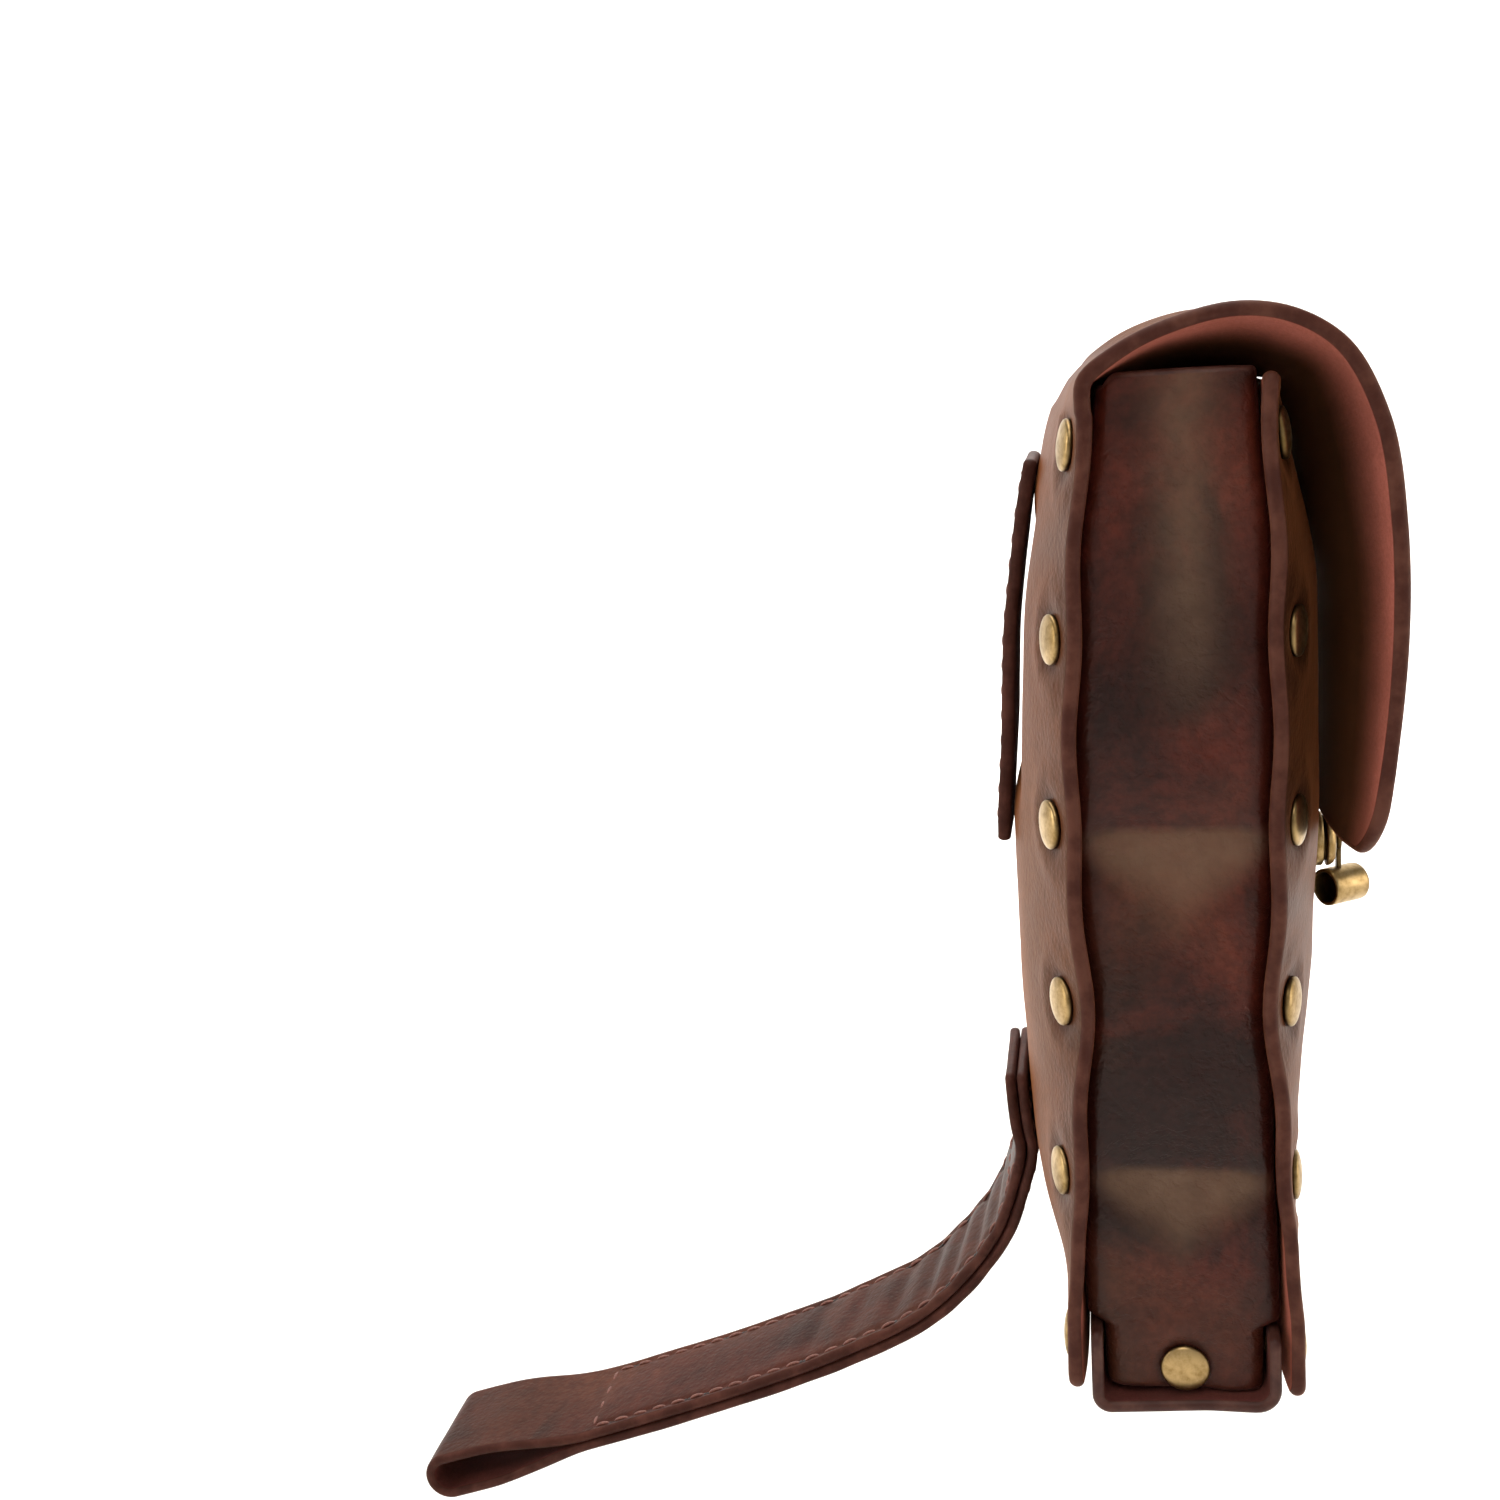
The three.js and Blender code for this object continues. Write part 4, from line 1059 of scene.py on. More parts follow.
# Strips: rounding of their edges, columns near an edge, and the groove that a seam presses in
STRIP_ROUND = 0.9
STRIP_NEAR_EDGE = (0.0, 0.7, 1.4, 2.1, 2.8)
STRIP_PLAIN = 3.6
STRIP_COLUMNS = 20
SEAM_DEPTH = 0.32
SEAM_WIDTH = 0.75
LOOP_WAVES = ((12.0, 0.15),)
STRAP_WAVES = ((12.0, 0.18),)
# Heights near a point of the belt loop, over which its inner line is averaged
LOOP_SMOOTH = np.linspace(-7.0, 7.0, 9)


def loop_inner(z):
    near = np.asarray(z, float)[..., None] + LOOP_SMOOTH
    return (back_face(0.0, near) + loop_gap(near)).mean(axis=-1)


# The belt loop's outer line in y and z, with its normals
def loop_line(z):
    step = 0.3
    inner = loop_inner(z)
    slope = (loop_inner(z + step) - loop_inner(z - step)) / (2 * step)
    out = np.stack([np.ones_like(slope), -slope], axis=-1)
    out /= np.linalg.norm(out, axis=-1, keepdims=True)
    return np.stack([inner, z], axis=-1) + out * LOOP_THICK, out


def strip_columns(width, rounding):
    half = width / 2 - rounding
    near = np.array(STRIP_NEAR_EDGE)
    plain = np.linspace(-half + STRIP_PLAIN, half - STRIP_PLAIN, STRIP_COLUMNS)
    return np.concatenate([-half + near, plain, (half - near)[::-1]])


def seam_groove(distance):
    return -SEAM_DEPTH * np.exp(-((distance / SEAM_WIDTH) ** 2))


def make_belt_loop():
    low, high = LOOP_ROWS[0][0] + STRIP_ROUND, LOOP_ROWS[-1][0] - STRIP_ROUND
    z = np.linspace(low, high, 100)
    line, _ = loop_line(z)
    grid = swept(line, -strip_columns(LOOP_WIDTH, STRIP_ROUND))
    x, height = grid[..., 0], grid[..., 2]
    seam_x = LOOP_WIDTH / 2 - STITCH_INSET
    relief = seam_groove(np.abs(x) - seam_x)
    for row in LOOP_SEAM_ROWS:
        for seam_z in (LOOP_ROWS[0][0] + row, LOOP_ROWS[-1][0] - row):
            relief = np.minimum(relief, seam_groove(height - seam_z) * (np.abs(x) < seam_x))
    wall = leather_wall(grid, LOOP_THICK, STRIP_ROUND, relief + uneven(grid, LOOP_WAVES, 9))
    mesh = mesh_of("belt_loop_leather", [wall])
    place("belt_loop_leather", mesh, STRAP_LEATHER, "strap_leather", ["belt_loop"])


# Leg strap: the line between its layers, and a point on either outer face
OFF_BACK = FIT_GAP + STRAP_THICK + STRAP_SLIT / 2
STRAP_LINE = Line(
    [(float(back_face(0.0, z)) + OFF_BACK, z) for z in STRAP_SEWN_HEIGHTS] + list(STRAP_ROWS)
)


def strap_half(distance):
    from_end = STRAP_LINE.length - distance
    opened = 1 - smoothstep(from_end, STRAP_LOOP_FULL, STRAP_LOOP_LENGTH)
    return (STRAP_SLIT + (STRAP_LOOP_OPEN - STRAP_SLIT) * opened) / 2


def strap_face(distance, side):
    along = STRAP_LINE.tangent(distance)
    out = np.stack([-along[..., 1], along[..., 0]], axis=-1) * side
    reach = np.asarray(strap_half(distance) + STRAP_THICK)[..., None]
    return STRAP_LINE.at(distance) + out * reach, out


# Relief of the strap: seams at its sides, padding between them and creases, softer on its lower face
STRAP_SEAM_END = STRAP_LINE.length - STRAP_LOOP_LENGTH - 2.0
STRAP_PADDING = 0.25
RIDGE_SHARE = 0.5
LOWER_CREASES = 0.5


def strap_relief(distance, x, side):
    seam_x = STRAP_WIDTH / 2 - STITCH_INSET
    sewn = (distance > BOX_TOP) & (distance < STRAP_SEAM_END)
    relief = seam_groove(np.abs(x) - seam_x) * sewn
    relief = relief + STRAP_PADDING * (1 - (x / seam_x) ** 2) * (np.abs(x) < seam_x) * sewn
    full = (1 - np.abs(x / (STRAP_WIDTH / 2)) ** 3) * (1.0 if side > 0 else LOWER_CREASES)
    for crease, slant, depth in STRAP_CREASES:
        away = distance - crease - slant * x
        ridge = np.exp(-(((away - CREASE_RIDGE) / CREASE_RIDGE_WIDTH) ** 2))
        shape = np.exp(-((away / CREASE_WIDTH) ** 2)) - RIDGE_SHARE * ridge
        relief = relief - depth * shape * full
    return relief


def make_leg_strap():
    length = STRAP_LINE.length
    s = np.linspace(STRIP_ROUND, length, 190)
    across = strip_columns(STRAP_WIDTH, STRIP_ROUND)
    outer, _ = strap_face(s, 1)
    lower, _ = strap_face(s[::-1], -1)
    _, out = strap_face(np.array([length]), 1)
    forward = STRAP_LINE.tangent(np.array([length]))[0]
    middle = STRAP_LINE.at(np.array([length]))[0]
    radius = float(strap_half(length)) + STRAP_THICK
    angles = np.linspace(np.pi / 2, -np.pi / 2, 26)[1:-1]
    turn = [middle + (out[0] * math.sin(a) + forward * math.cos(a)) * radius for a in angles]
    grid = swept(np.vstack([outer, turn, lower]), across)
    x = np.repeat(across[None, :], len(s), axis=0)
    along = np.repeat(s[:, None], len(across), axis=1)
    upper_relief = strap_relief(along, x, 1)
    lower_relief = strap_relief(along[::-1], x, -1)
    flat = np.zeros((len(turn), len(across)))
    relief = np.concatenate([upper_relief, flat, lower_relief]) + uneven(grid, STRAP_WAVES, 10)
    mesh = mesh_of("leg_strap_leather", [leather_wall(grid, STRAP_THICK, STRIP_ROUND, relief)])
    place("leg_strap_leather", mesh, STRAP_LEATHER, "strap_leather", ["leg_strap"])


# A turned shape about +Z, as points and faces, with the darkness of each ring: tarnish on brass, painted
# shade in a stitch hole
def turned(profile, sides, dark):
    profile = np.asarray(profile, float)
    angles = np.arange(sides) / sides * 2 * np.pi
    ring = np.stack([np.cos(angles), np.sin(angles)], axis=-1)
    points = []
    faces = []
    shade = []
    for (radius, height), dark_here in zip(profile, dark):
        points.append(np.column_stack([ring * radius, np.full(sides, height)]))
        shade.append(np.full(sides, dark_here))
    ids = np.arange(len(profile) * sides).reshape(len(profile), sides)
    for a, b in zip(ids, ids[1:]):
        faces.append(np.stack([a, np.roll(a, -1), np.roll(b, -1), b], axis=-1))
    faces = np.vstack(faces).tolist()
    faces.append(ids[0][::-1].tolist())
    faces.append(ids[-1].tolist())
    return {"points": np.vstack(points), "faces": faces, "burnish_tarnish_and_shade": np.concatenate(shade)}


def moved(part, matrix):
    points = np.column_stack([part["points"], np.ones(len(part["points"]))])
    return {**part, "points": (points @ np.array(matrix).T)[:, :3]}


# Geometry node trees
def geometry_tree(name, inputs):
    geometry = "NodeSocketGeometry"
    tree = bpy.data.node_groups.new(name, "GeometryNodeTree")
    tree.is_modifier = True
    sockets = {}
    tree.interface.new_socket("Geometry", in_out="INPUT", socket_type=geometry)
    for label, kind in inputs:
        sockets[label] = tree.interface.new_socket(label, in_out="INPUT", socket_type=kind).identifier
    tree.interface.new_socket("Geometry", in_out="OUTPUT", socket_type=geometry)
    return tree, sockets, tree.nodes.new("NodeGroupInput").outputs, tree.nodes.new("NodeGroupOutput").inputs


def named_vector(tree, name):
    made = node(tree, "GeometryNodeInputNamedAttribute", data_type="FLOAT_VECTOR")
    made.inputs["Name"].default_value = name
    return made.outputs["Attribute"]


# A rotation turned about its own Z by a random angle
def spun(tree, rotation, seed, low, high):
    inputs = {"Seed": seed, 2: low, 3: high}
    angle = node(tree, "FunctionNodeRandomValue", inputs, data_type="FLOAT").outputs[1]
    inputs = {"Axis": (0.0, 0.0, 1.0), "Angle": angle}
    turn = node(tree, "FunctionNodeAxisAngleToRotation", inputs).outputs[0]
    inputs = {"Rotation": rotation, "Rotate By": turn}
    return node(tree, "FunctionNodeRotateRotation", inputs, rotation_space="LOCAL").outputs[0]


def finish_tree(tree, instances, material, result):
    whole = node(tree, "GeometryNodeRealizeInstances", {"Geometry": instances}).outputs[0]
    inputs = {"Geometry": whole, "Material": material}
    finished = node(tree, "GeometryNodeSetMaterial", inputs).outputs[0]
    tree.links.new(finished, result["Geometry"])


# Rivets: one cap on each point, turned to the face's normal
def rivet_tree():
    tree, sockets, given, result = geometry_tree("rivet_rows", [
        ("Rivet", "NodeSocketObject"), ("Size", "NodeSocketFloat"), ("Seed", "NodeSocketInt"),
        ("Metal", "NodeSocketMaterial"),
    ])
    cap = node(tree, "GeometryNodeObjectInfo", {"Object": given["Rivet"]}).outputs["Geometry"]
    upright = node(
        tree, "FunctionNodeAlignRotationToVector", {"Vector": named_vector(tree, "outwards")}, axis="Z",
    ).outputs[0]
    rotation = spun(tree, upright, given["Seed"], 0.0, math.tau)
    caps = node(tree, "GeometryNodeInstanceOnPoints", {
        "Points": given["Geometry"], "Instance": cap, "Rotation": rotation, "Scale": given["Size"],
    }).outputs[0]
    finish_tree(tree, caps, given["Metal"], result)
    return tree, sockets


# Stitches: one thread on each step of a seam, lying along it on the face
def stitch_tree():
    tree, sockets, given, result = geometry_tree("stitch_seams", [
        ("Stitch", "NodeSocketObject"), ("Pitch", "NodeSocketFloat"), ("Slant", "NodeSocketFloat"),
        ("Seed", "NodeSocketInt"), ("Thread", "NodeSocketMaterial"),
    ])
    seam = node(tree, "GeometryNodeMeshToCurve", {"Mesh": given["Geometry"]}).outputs[0]
    steps = node(
        tree, "GeometryNodeResampleCurve", {"Curve": seam, "Length": given["Pitch"]}, mode="LENGTH",
    ).outputs[0]
    tangent = node(tree, "GeometryNodeInputTangent").outputs[0]
    along = node(tree, "FunctionNodeAlignRotationToVector", {"Vector": tangent}, axis="X").outputs[0]
    upright = node(
        tree, "FunctionNodeAlignRotationToVector",
        {"Rotation": along, "Vector": named_vector(tree, "outwards")}, axis="Z", pivot_axis="X",
    ).outputs[0]
    backwards = calc(tree, "MULTIPLY", given["Slant"], -1.0)
    rotation = spun(tree, upright, given["Seed"], backwards, given["Slant"])
    thread = node(tree, "GeometryNodeObjectInfo", {"Object": given["Stitch"]}).outputs["Geometry"]
    stitches = node(tree, "GeometryNodeInstanceOnPoints", {
        "Points": steps, "Instance": thread, "Rotation": rotation,
    }).outputs[0]
    finish_tree(tree, stitches, given["Thread"], result)
    return tree, sockets


def scratch_object(name, mesh):
    made = bpy.data.objects.new(name, mesh)
    bpy.context.scene.collection.objects.link(made)
    return made


def small_shape(name, parts):
    points, faces = put_together(parts)
    mesh = bpy.data.meshes.new(name)
    mesh.from_pydata((points * MM).tolist(), [], faces)
    attribute = mesh.attributes.new("burnish_tarnish_and_shade", "FLOAT", "POINT")
    shade = np.concatenate([part["burnish_tarnish_and_shade"] for part in parts])
    attribute.data.foreach_set("value", shade.astype(np.float32))
    mesh.shade_smooth()
    return scratch_object(name, mesh)


# Points or seams with their outward directions, in the part's own frame
def guide_mesh(name, points, edges, outwards):
    mesh = bpy.data.meshes.new(name)
    mesh.from_pydata(in_frame(points).tolist(), edges, [])
    attribute = mesh.attributes.new("outwards", "FLOAT_VECTOR", "POINT")
    attribute.data.foreach_set("vector", np.asarray(outwards, np.float32).reshape(-1))
    return mesh


def grown(name, guide, tree, values):
    source = scratch_object(name + "_guide", guide)
    modifier = source.modifiers.new("grow", "NODES")
    modifier.node_group = tree
    for identifier, value in values.items():
        modifier[identifier] = value
    graph = bpy.context.evaluated_depsgraph_get()
    mesh = bpy.data.meshes.new_from_object(source.evaluated_get(graph))
    source.modifiers.remove(modifier)
    bpy.data.objects.remove(source)
    mesh.name = name
    return mesh


def joined(name, meshes):
    shape = bmesh.new()
    for mesh in meshes:
        shape.from_mesh(mesh)
    result = bpy.data.meshes.new(name)
    shape.to_mesh(result)
    shape.free()
    for material in meshes[0].materials:
        result.materials.append(material)
    result.shade_smooth()
    return result


# Cap of a rivet: a low dome with a rolled rim, and its tail: a flat cap inside the bag
CAP_SIDES = 28
TAIL_SIDES = 18
TAIL_GAP = 0.1
RIVET_SEED = 3
RIVET_CAP = (
    (3.9, -0.55), (4.35, -0.35), (4.5, 0.0), (4.48, 0.45), (4.3, 0.72), (3.95, 0.92), (3.3, 1.12),
    (2.5, 1.3), (1.5, 1.42), (0.6, 1.47),
)
RIVET_CAP_DARK = (1.0, 1.0, 0.85, 0.5, 0.15, 0.0, 0.0, 0.0, 0.0, 0.0)
RIVET_TAIL = ((2.2, -0.3), (2.6, 0.0), (2.6, 0.35), (2.3, 0.62), (1.4, 0.75), (0.5, 0.78))
RIVET_TAIL_DARK = (1.0, 0.8, 0.4, 0.2, 0.1, 0.1)


def make_rivets():
    seats, normals, tails, nodes = [], [], [], []
    for face, panel in ((back_face, "back"), (front_face, "front")):
        for k, (x, z) in enumerate(SPOTS):
            normal = face_normal(face, np.array(x), np.array(z))
            seat = np.array([x, float(face(x, z)), z])
            lowest = z == RIVET_FIRST_Z
            layer = FIT_GAP + TRAY_THICK if lowest else FLANGE_GAP + GUSSET_THICK
            seats.append(seat)
            normals.append(normal)
            tails.append(seat - normal * (PANEL_THICK + layer + TAIL_GAP))
            side = "left" if x < 0 else "right"
            if k < 2 * RIVETS_PER_SIDE:
                nodes.append(f"rivet_{panel}_{side}_{k % RIVETS_PER_SIDE + 1}")
            else:
                nodes.append(f"rivet_{panel}_base_{side}")
    for sign, side in ((-1, "left"), (1, "right")):
        normal = np.array([sign, 0.0, 0.0])
        seat = np.array([sign * GUSSET_FACE_X, 0.0, GUSSET_RIVET_Z])
        seats.append(seat)
        normals.append(normal)
        tails.append(seat - normal * (GUSSET_THICK + FIT_GAP + TRAY_THICK + TAIL_GAP))
        nodes.append(f"rivet_gusset_{side}")
    tree, sockets = rivet_tree()
    cap = small_shape("rivet_cap", [turned(RIVET_CAP, CAP_SIDES, RIVET_CAP_DARK)])
    tail = small_shape("rivet_tail", [turned(RIVET_TAIL, TAIL_SIDES, RIVET_TAIL_DARK)])
    normals = np.array(normals)
    meshes = []
    for name, shape, spots, way in (("caps", cap, seats, normals), ("tails", tail, tails, -normals)):
        guide = guide_mesh("rivet_" + name, spots, [], way)
        meshes.append(grown("rivet_" + name, guide, tree, {
            sockets["Rivet"]: shape, sockets["Size"]: 1.0,
            sockets["Seed"]: RIVET_SEED, sockets["Metal"]: BRASS,
        }))
    for shape in (cap, tail):
        bpy.data.objects.remove(shape)
    place("rivets", joined("rivets", meshes), None, "antique_brass", nodes)


# One stitch along +X: a bowed thread, wider than high, with a dark hole of painted shade at both ends
STITCH_SEED = 5
STITCH_RINGS = 8
THREAD_SIDES = 6
THREAD_RISE = 0.46
THREAD_FOOT = -0.34
THREAD_END = 0.6
THREAD_WIDER = 1.15
STITCH_HOLE = ((0.5, -0.45), (0.55, -0.1))


def stitch_shape():
    half = STITCH_LENGTH / 2
    bow = np.cos(np.linspace(-1, 1, STITCH_RINGS) * np.pi / 2)
    ring_x = np.linspace(-half, half, STITCH_RINGS)
    height = THREAD_RISE * bow**0.6 + THREAD_FOOT
    radius = THREAD_RADIUS * (THREAD_END + (1 - THREAD_END) * bow**0.5)
    angles = np.arange(THREAD_SIDES) / THREAD_SIDES * math.tau
    points = []
    for x, z, r in zip(ring_x, height, radius):
        points.extend((x, r * math.cos(a) * THREAD_WIDER, z + r * math.sin(a)) for a in angles)
    ids = np.arange(len(points)).reshape(STITCH_RINGS, THREAD_SIDES)
    faces = [ids[0][::-1].tolist(), ids[-1].tolist()]
    for ring, following in zip(ids, ids[1:]):
        sides = np.stack([ring, np.roll(ring, -1), np.roll(following, -1), following], axis=-1)
        faces.extend(sides.tolist())
    thread = {"points": np.array(points), "faces": faces, "burnish_tarnish_and_shade": np.zeros(len(points))}
    hole = turned(STITCH_HOLE, 8, (1.0, 1.0))
    holes = [moved(hole, Matrix.Translation((end, 0.0, 0.0))) for end in (-half, half)]
    return small_shape("stitch", [thread, *holes])


# Seams of all strips, as points with edges between them and the way out of the leather
class Seams:
    def __init__(self):
        self.points, self.edges, self.outwards = [], [], []

    def run(self, points, outwards):
        start = len(self.points)
        self.points.extend(points)
        self.outwards.extend(outwards)
        self.edges.extend((start + i, start + i + 1) for i in range(len(points) - 1))


LONG_SEAM_POINTS = 60
SHORT_SEAM_POINTS = 8


def loop_seams(seams):
    low, high = LOOP_ROWS[0][0], LOOP_ROWS[-1][0]
    seam_x = LOOP_WIDTH / 2 - STITCH_INSET
    half_step = STITCH_PITCH / 2

    def run(x, z):
        line, out = loop_line(z)
        points = np.column_stack([x, line])
        normals = np.column_stack([np.zeros(len(z)), out])
        seams.run(points - normals * STITCH_SUNK, normals)

    first = LOOP_SEAM_ROWS[0]
    for sign in (-1, 1):
        z = np.linspace(low + first + half_step, high - first - half_step, LONG_SEAM_POINTS)
        run(np.full(LONG_SEAM_POINTS, sign * seam_x), z)
    for row in LOOP_SEAM_ROWS:
        for z in (low + row, high - row):
            x = np.linspace(-seam_x + half_step, seam_x - half_step, SHORT_SEAM_POINTS)
            run(x, np.full(SHORT_SEAM_POINTS, z))


def strap_seams(seams, side):
    seam_x = STRAP_WIDTH / 2 - STITCH_INSET
    box_low = BOX_TOP + BOX_LENGTH
    half_step = STITCH_PITCH / 2

    def run(x0, s0, x1, s1):
        length = math.hypot(x1 - x0, s1 - s0)
        count = max(SHORT_SEAM_POINTS, int(length))
        t = np.linspace(half_step / length, 1 - half_step / length, count)
        x = x0 + (x1 - x0) * t
        s = s0 + (s1 - s0) * t
        line, out = strap_face(s, side)
        normals = np.column_stack([np.zeros(count), out])
        seams.run(np.column_stack([x, line]) - normals * STITCH_SUNK, normals)

    for sign in (-1, 1):
        run(sign * seam_x, BOX_TOP, sign * seam_x, STRAP_SEAM_END)
        run(sign * seam_x, BOX_TOP, -sign * seam_x, box_low)
    for s in (BOX_TOP, box_low, STRAP_SEAM_END):
        run(-seam_x, s, seam_x, s)


def make_stitches():
    seams = Seams()
    loop_seams(seams)
    strap_seams(seams, 1)
    strap_seams(seams, -1)
    tree, sockets = stitch_tree()
    stitch = stitch_shape()
    guide = guide_mesh("seams", seams.points, seams.edges, seams.outwards)
    mesh = grown("stitches", guide, tree, {
        sockets["Stitch"]: stitch, sockets["Pitch"]: STITCH_PITCH * MM, sockets["Slant"]: STITCH_SLANT,
        sockets["Seed"]: STITCH_SEED, sockets["Thread"]: THREAD,
    })
    bpy.data.objects.remove(stitch)
    mesh.shade_smooth()
    place("stitches", mesh, None, "strap_leather", [])


# Clasp: a two-disc stud with a pin, and the lever that hangs on it
STUD_PROFILE = (
    (1.5, -3.0), (1.5, 0.2), (5.0, 0.2), (5.4, 0.35), (5.5, 0.7), (5.5, 1.6), (5.35, 1.95), (5.0, 2.1),
    (4.6, 2.15), (4.6, 2.55), (5.0, 2.6), (5.4, 2.7), (5.5, 3.0), (5.35, 3.5), (4.9, 4.1), (4.3, 4.4),
    (3.4, 4.5),
    (0.9, 4.5), (0.8, 4.6), (0.8, 7.5), (1.4, 7.6), (1.6, 7.8), (1.6, 8.1), (1.3, 8.35), (0.6, 8.4),
)
STUD_DARK = (
    1.0, 1.0, 0.8, 0.4, 0.1, 0.0, 0.2, 0.7,
    1.0, 1.0, 0.7, 0.2, 0.0, 0.0, 0.0, 0.1, 0.3,
    0.6, 0.4, 0.2, 0.3, 0.1, 0.0, 0.0, 0.0,
)
BARREL_PROFILE = (
    (0.6, 2.5), (2.9, 2.5), (3.05, 2.3), (3.05, 0.25), (3.2, 0.02), (3.5, 0.0), (3.72, 0.2), (3.75, 0.6),
    (3.75, 7.6), (3.62, 8.1), (3.3, 8.5), (2.7, 8.75), (1.4, 8.8), (0.4, 8.8),
)
BARREL_DARK = (1.0, 1.0, 1.0, 0.8, 0.2, 0.0, 0.0, 0.0, 0.1, 0.2, 0.2, 0.3, 0.3, 0.3)
EYE_PROFILE = (
    (1.1, 0.12), (1.25, 0.0), (2.25, 0.0), (2.4, 0.15), (2.4, 0.75), (2.25, 0.9), (1.25, 0.9), (1.1, 0.78),
)
EYE_DARK = 0.7
LINK_DARK = 0.75
LINK_HALF_WIDTH = 1.4
LINK_BEVEL = 0.22
# Ends of the link: below the pin and above the barrel's middle
LINK_BELOW_PIN = 1.7
LINK_ABOVE_BARREL = 3.3
STUD_SIDES = 40
EYE_SIDES = 28
BARREL_SIDES = 36


def along_front(place, turn=0.0):
    outwards = Matrix.Rotation(math.pi / 2, 4, "X")
    return Matrix.Translation(place) @ Matrix.Rotation(turn, 4, "Z") @ outwards


# A turned ring: the profile's ends meet
def ring_shape(profile, sides, dark):
    part = turned(profile, sides, [dark] * len(profile))
    part["faces"] = part["faces"][:-2]
    count = len(profile)
    ids = np.arange(count * sides).reshape(count, sides)
    last, first = ids[-1], ids[0]
    closing = np.stack([last, np.roll(last, -1), np.roll(first, -1), first], axis=-1)
    part["faces"] += closing.tolist()
    return part


def link_bar(y_back, y_front, z_top, z_low):
    shape = bmesh.new()
    bmesh.ops.create_cube(shape, size=1.0)
    size = Matrix.Diagonal((2 * LINK_HALF_WIDTH, y_front - y_back, z_top - z_low, 1.0))
    middle = Matrix.Translation((0.0, (y_back + y_front) / 2, (z_top + z_low) / 2))
    bmesh.ops.transform(shape, matrix=middle @ size, verts=shape.verts)
    bmesh.ops.bevel(shape, geom=shape.edges[:], offset=LINK_BEVEL, segments=3, affect="EDGES", profile=0.5)
    shape.verts.index_update()
    points = np.array([v.co for v in shape.verts])
    faces = [[v.index for v in face.verts] for face in shape.faces]
    shape.free()
    return {"points": points, "faces": faces, "burnish_tarnish_and_shade": np.full(len(points), LINK_DARK)}


def make_clasp():
    seat_y = float(front_face(0.0, CLASP_Z))
    stud = moved(turned(STUD_PROFILE, STUD_SIDES, STUD_DARK), along_front((0.0, seat_y, CLASP_Z)))
    mesh = mesh_of("clasp_stud_brass", [stud])
    place("clasp_stud_brass", mesh, BRASS, "antique_brass", ["clasp_stud"])
    link_back = seat_y - STUD_FRONT - FIT_GAP
    eye = moved(ring_shape(EYE_PROFILE, EYE_SIDES, EYE_DARK), along_front((0.0, link_back, CLASP_Z)))
    link_low = CLASP_Z - BARREL_DROP + LINK_ABOVE_BARREL
    bar = link_bar(link_back - LINK_THICK, link_back, CLASP_Z - LINK_BELOW_PIN, link_low)
    axis = Vector((math.sin(BARREL_TURN), -math.cos(BARREL_TURN), 0.0))
    middle = Vector((0.0, seat_y - BARREL_MIDDLE, CLASP_Z - BARREL_DROP))
    barrel_place = along_front(middle - axis * BARREL_LENGTH / 2, BARREL_TURN)
    barrel = moved(turned(BARREL_PROFILE, BARREL_SIDES, BARREL_DARK), barrel_place)
    mesh = mesh_of("clasp_lever_brass", [eye, bar, barrel])
    place("clasp_lever_brass", mesh, BRASS, "antique_brass", ["clasp_lever"], "clasp")


# Floor: a wide pale round sweep, in metres
FLOOR_FLAT = 1.6
FLOOR_BEND = 0.9
FLOOR_TOP = 2.2
FLOOR_SIDES = 96


def make_floor(height):
    profile = [(0.001, 0.0)]
    profile += [(radius, 0.0) for radius in np.linspace(0.3, FLOOR_FLAT, 12)]
    for angle in np.linspace(0.1, math.pi / 2, 14):
        profile.append((FLOOR_FLAT + FLOOR_BEND * math.sin(angle), FLOOR_BEND * (1 - math.cos(angle))))
    profile += [(FLOOR_FLAT + FLOOR_BEND, FLOOR_TOP)]
    part = turned(profile, FLOOR_SIDES, [0.0] * len(profile))
    part["faces"] = part["faces"][:-1]
    mesh = bpy.data.meshes.new("floor")
    points = part["points"] + np.array([0.0, 0.0, height])
    mesh.from_pydata(points.tolist(), [], [face[::-1] for face in part["faces"]])
    mesh.shade_smooth()
    material, tree, shader = new_material("pale_floor", colour("f2f1ef"), 0.7)
    tone = speckle(tree, object_place(tree), 3.0, 2.0)
    pale = mix_colour(tree, tone, colour("f3f2f0"), colour("f7f6f4"))
    tree.links.new(pale, shader.inputs["Base Color"])
    shader.inputs["Specular IOR Level"].default_value = 0.2
    mesh.materials.append(material)
    floor = scratch_object("floor", mesh)


def area_light(name, place, target, size, power, tint=(1.0, 1.0, 1.0)):
    data = bpy.data.lights.new(name, "AREA")
    data.shape = "RECTANGLE"
    data.size, data.size_y = size
    data.energy = power
    data.color = tint
    light = bpy.data.objects.new(name, data)
    light.location = place
    way = Vector(target) - Vector(place)
    light.rotation_euler = way.to_track_quat("-Z", "Y").to_euler()
    bpy.context.scene.collection.objects.link(light)


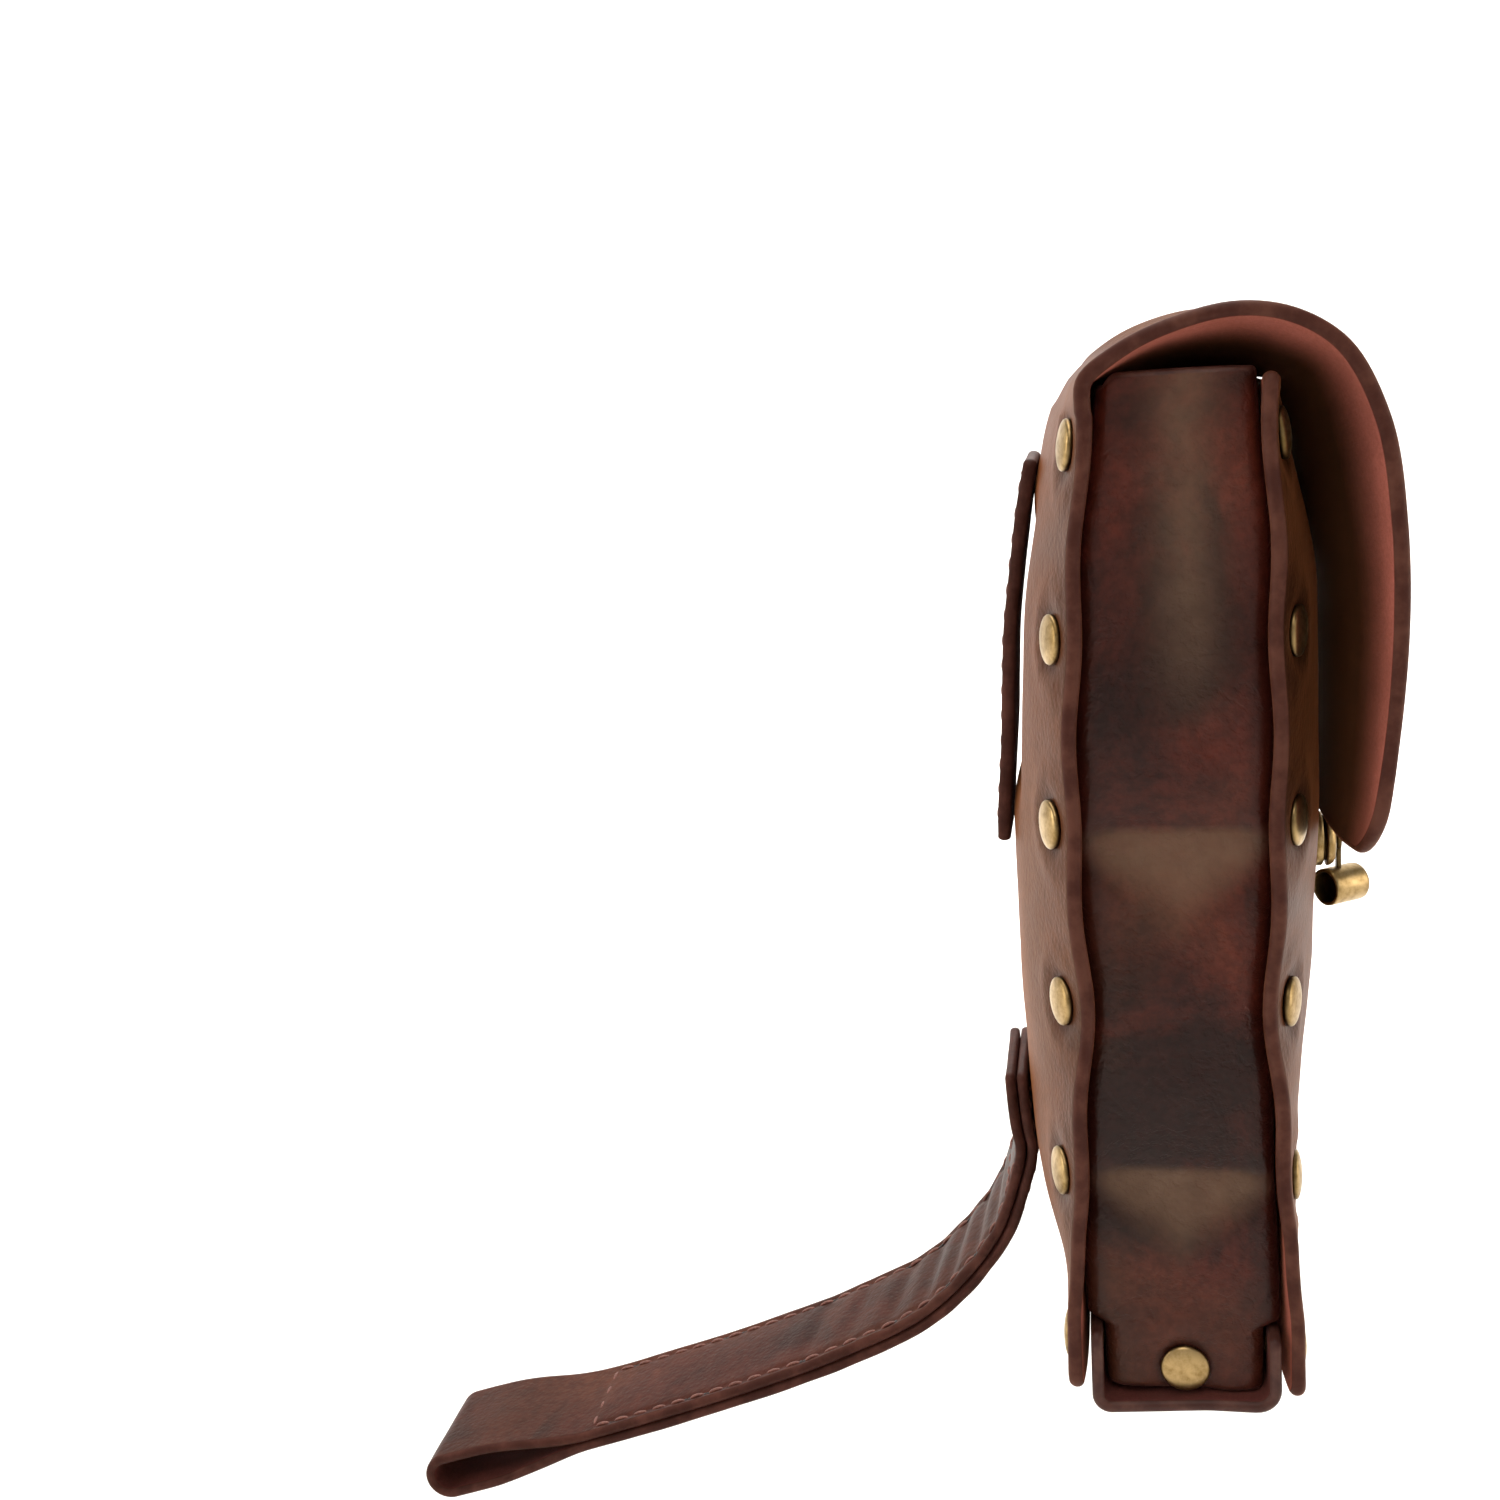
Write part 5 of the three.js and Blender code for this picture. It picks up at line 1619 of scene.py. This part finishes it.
WARM = (1.0, 0.95, 0.88)
WHITE = (1.0, 1.0, 1.0, 1.0)
SKY_STRENGTH = 0.06


def make_lights():
    area_light("overhead", (0.35, 0.1, 1.3), (0.1, 0.0, -0.1), (1.0, 1.3), 22.0, WARM)
    area_light("front", (-0.7, 0.1, 1.0), (0.0, 0.0, -0.05), (0.6, 0.6), 5.0, WARM)
    area_light("left", (-0.2, 1.2, 0.3), (0.0, 0.0, -0.05), (0.6, 0.8), 5.5, WARM)
    area_light("right", (-0.05, -1.25, 0.2), (0.0, 0.0, -0.05), (0.5, 0.8), 5.0, WARM)
    area_light("backdrop", (1.3, 0.0, 1.2), (2.2, 0.0, 0.1), (0.8, 2.4), 40.0)
    world = bpy.data.worlds.new("studio")
    world.use_nodes = True
    sky = world.node_tree.nodes["Background"]
    sky.inputs["Color"].default_value = WHITE
    sky.inputs["Strength"].default_value = SKY_STRENGTH
    bpy.context.scene.world = world


def make_camera():
    yaw, pitch, roll = CAMERA_YAW, CAMERA_PITCH, CAMERA_ROLL
    ahead = Vector((math.cos(yaw) * math.cos(pitch), -math.sin(yaw) * math.cos(pitch), -math.sin(pitch)))
    level = Vector((-math.sin(yaw), -math.cos(yaw), 0.0))
    down = ahead.cross(level)
    right = level * math.cos(roll) + down * math.sin(roll)
    up = level * math.sin(roll) - down * math.cos(roll)
    data = bpy.data.cameras.new("camera")
    data.lens = CAMERA_LENS
    data.sensor_width = SENSOR_WIDTH
    data.clip_start = 0.01
    data.clip_end = 20.0
    camera = bpy.data.objects.new("camera", data)
    turn = Matrix((right, up, -ahead)).transposed().to_4x4()
    camera.matrix_world = Matrix.Translation(Vector(in_frame(CAMERA_PLACE))) @ turn
    bpy.context.scene.collection.objects.link(camera)
    bpy.context.scene.camera = camera


make_camera()
make_back_flap()
make_front_panel()
make_gussets()
make_tray()
make_belt_loop()
make_leg_strap()
make_rivets()
make_stitches()
make_clasp()
make_floor(CAD_BOX[0].z - FLOOR_DROP * MM)
make_lights()
bpy.context.scene.view_settings.view_transform = "Standard"
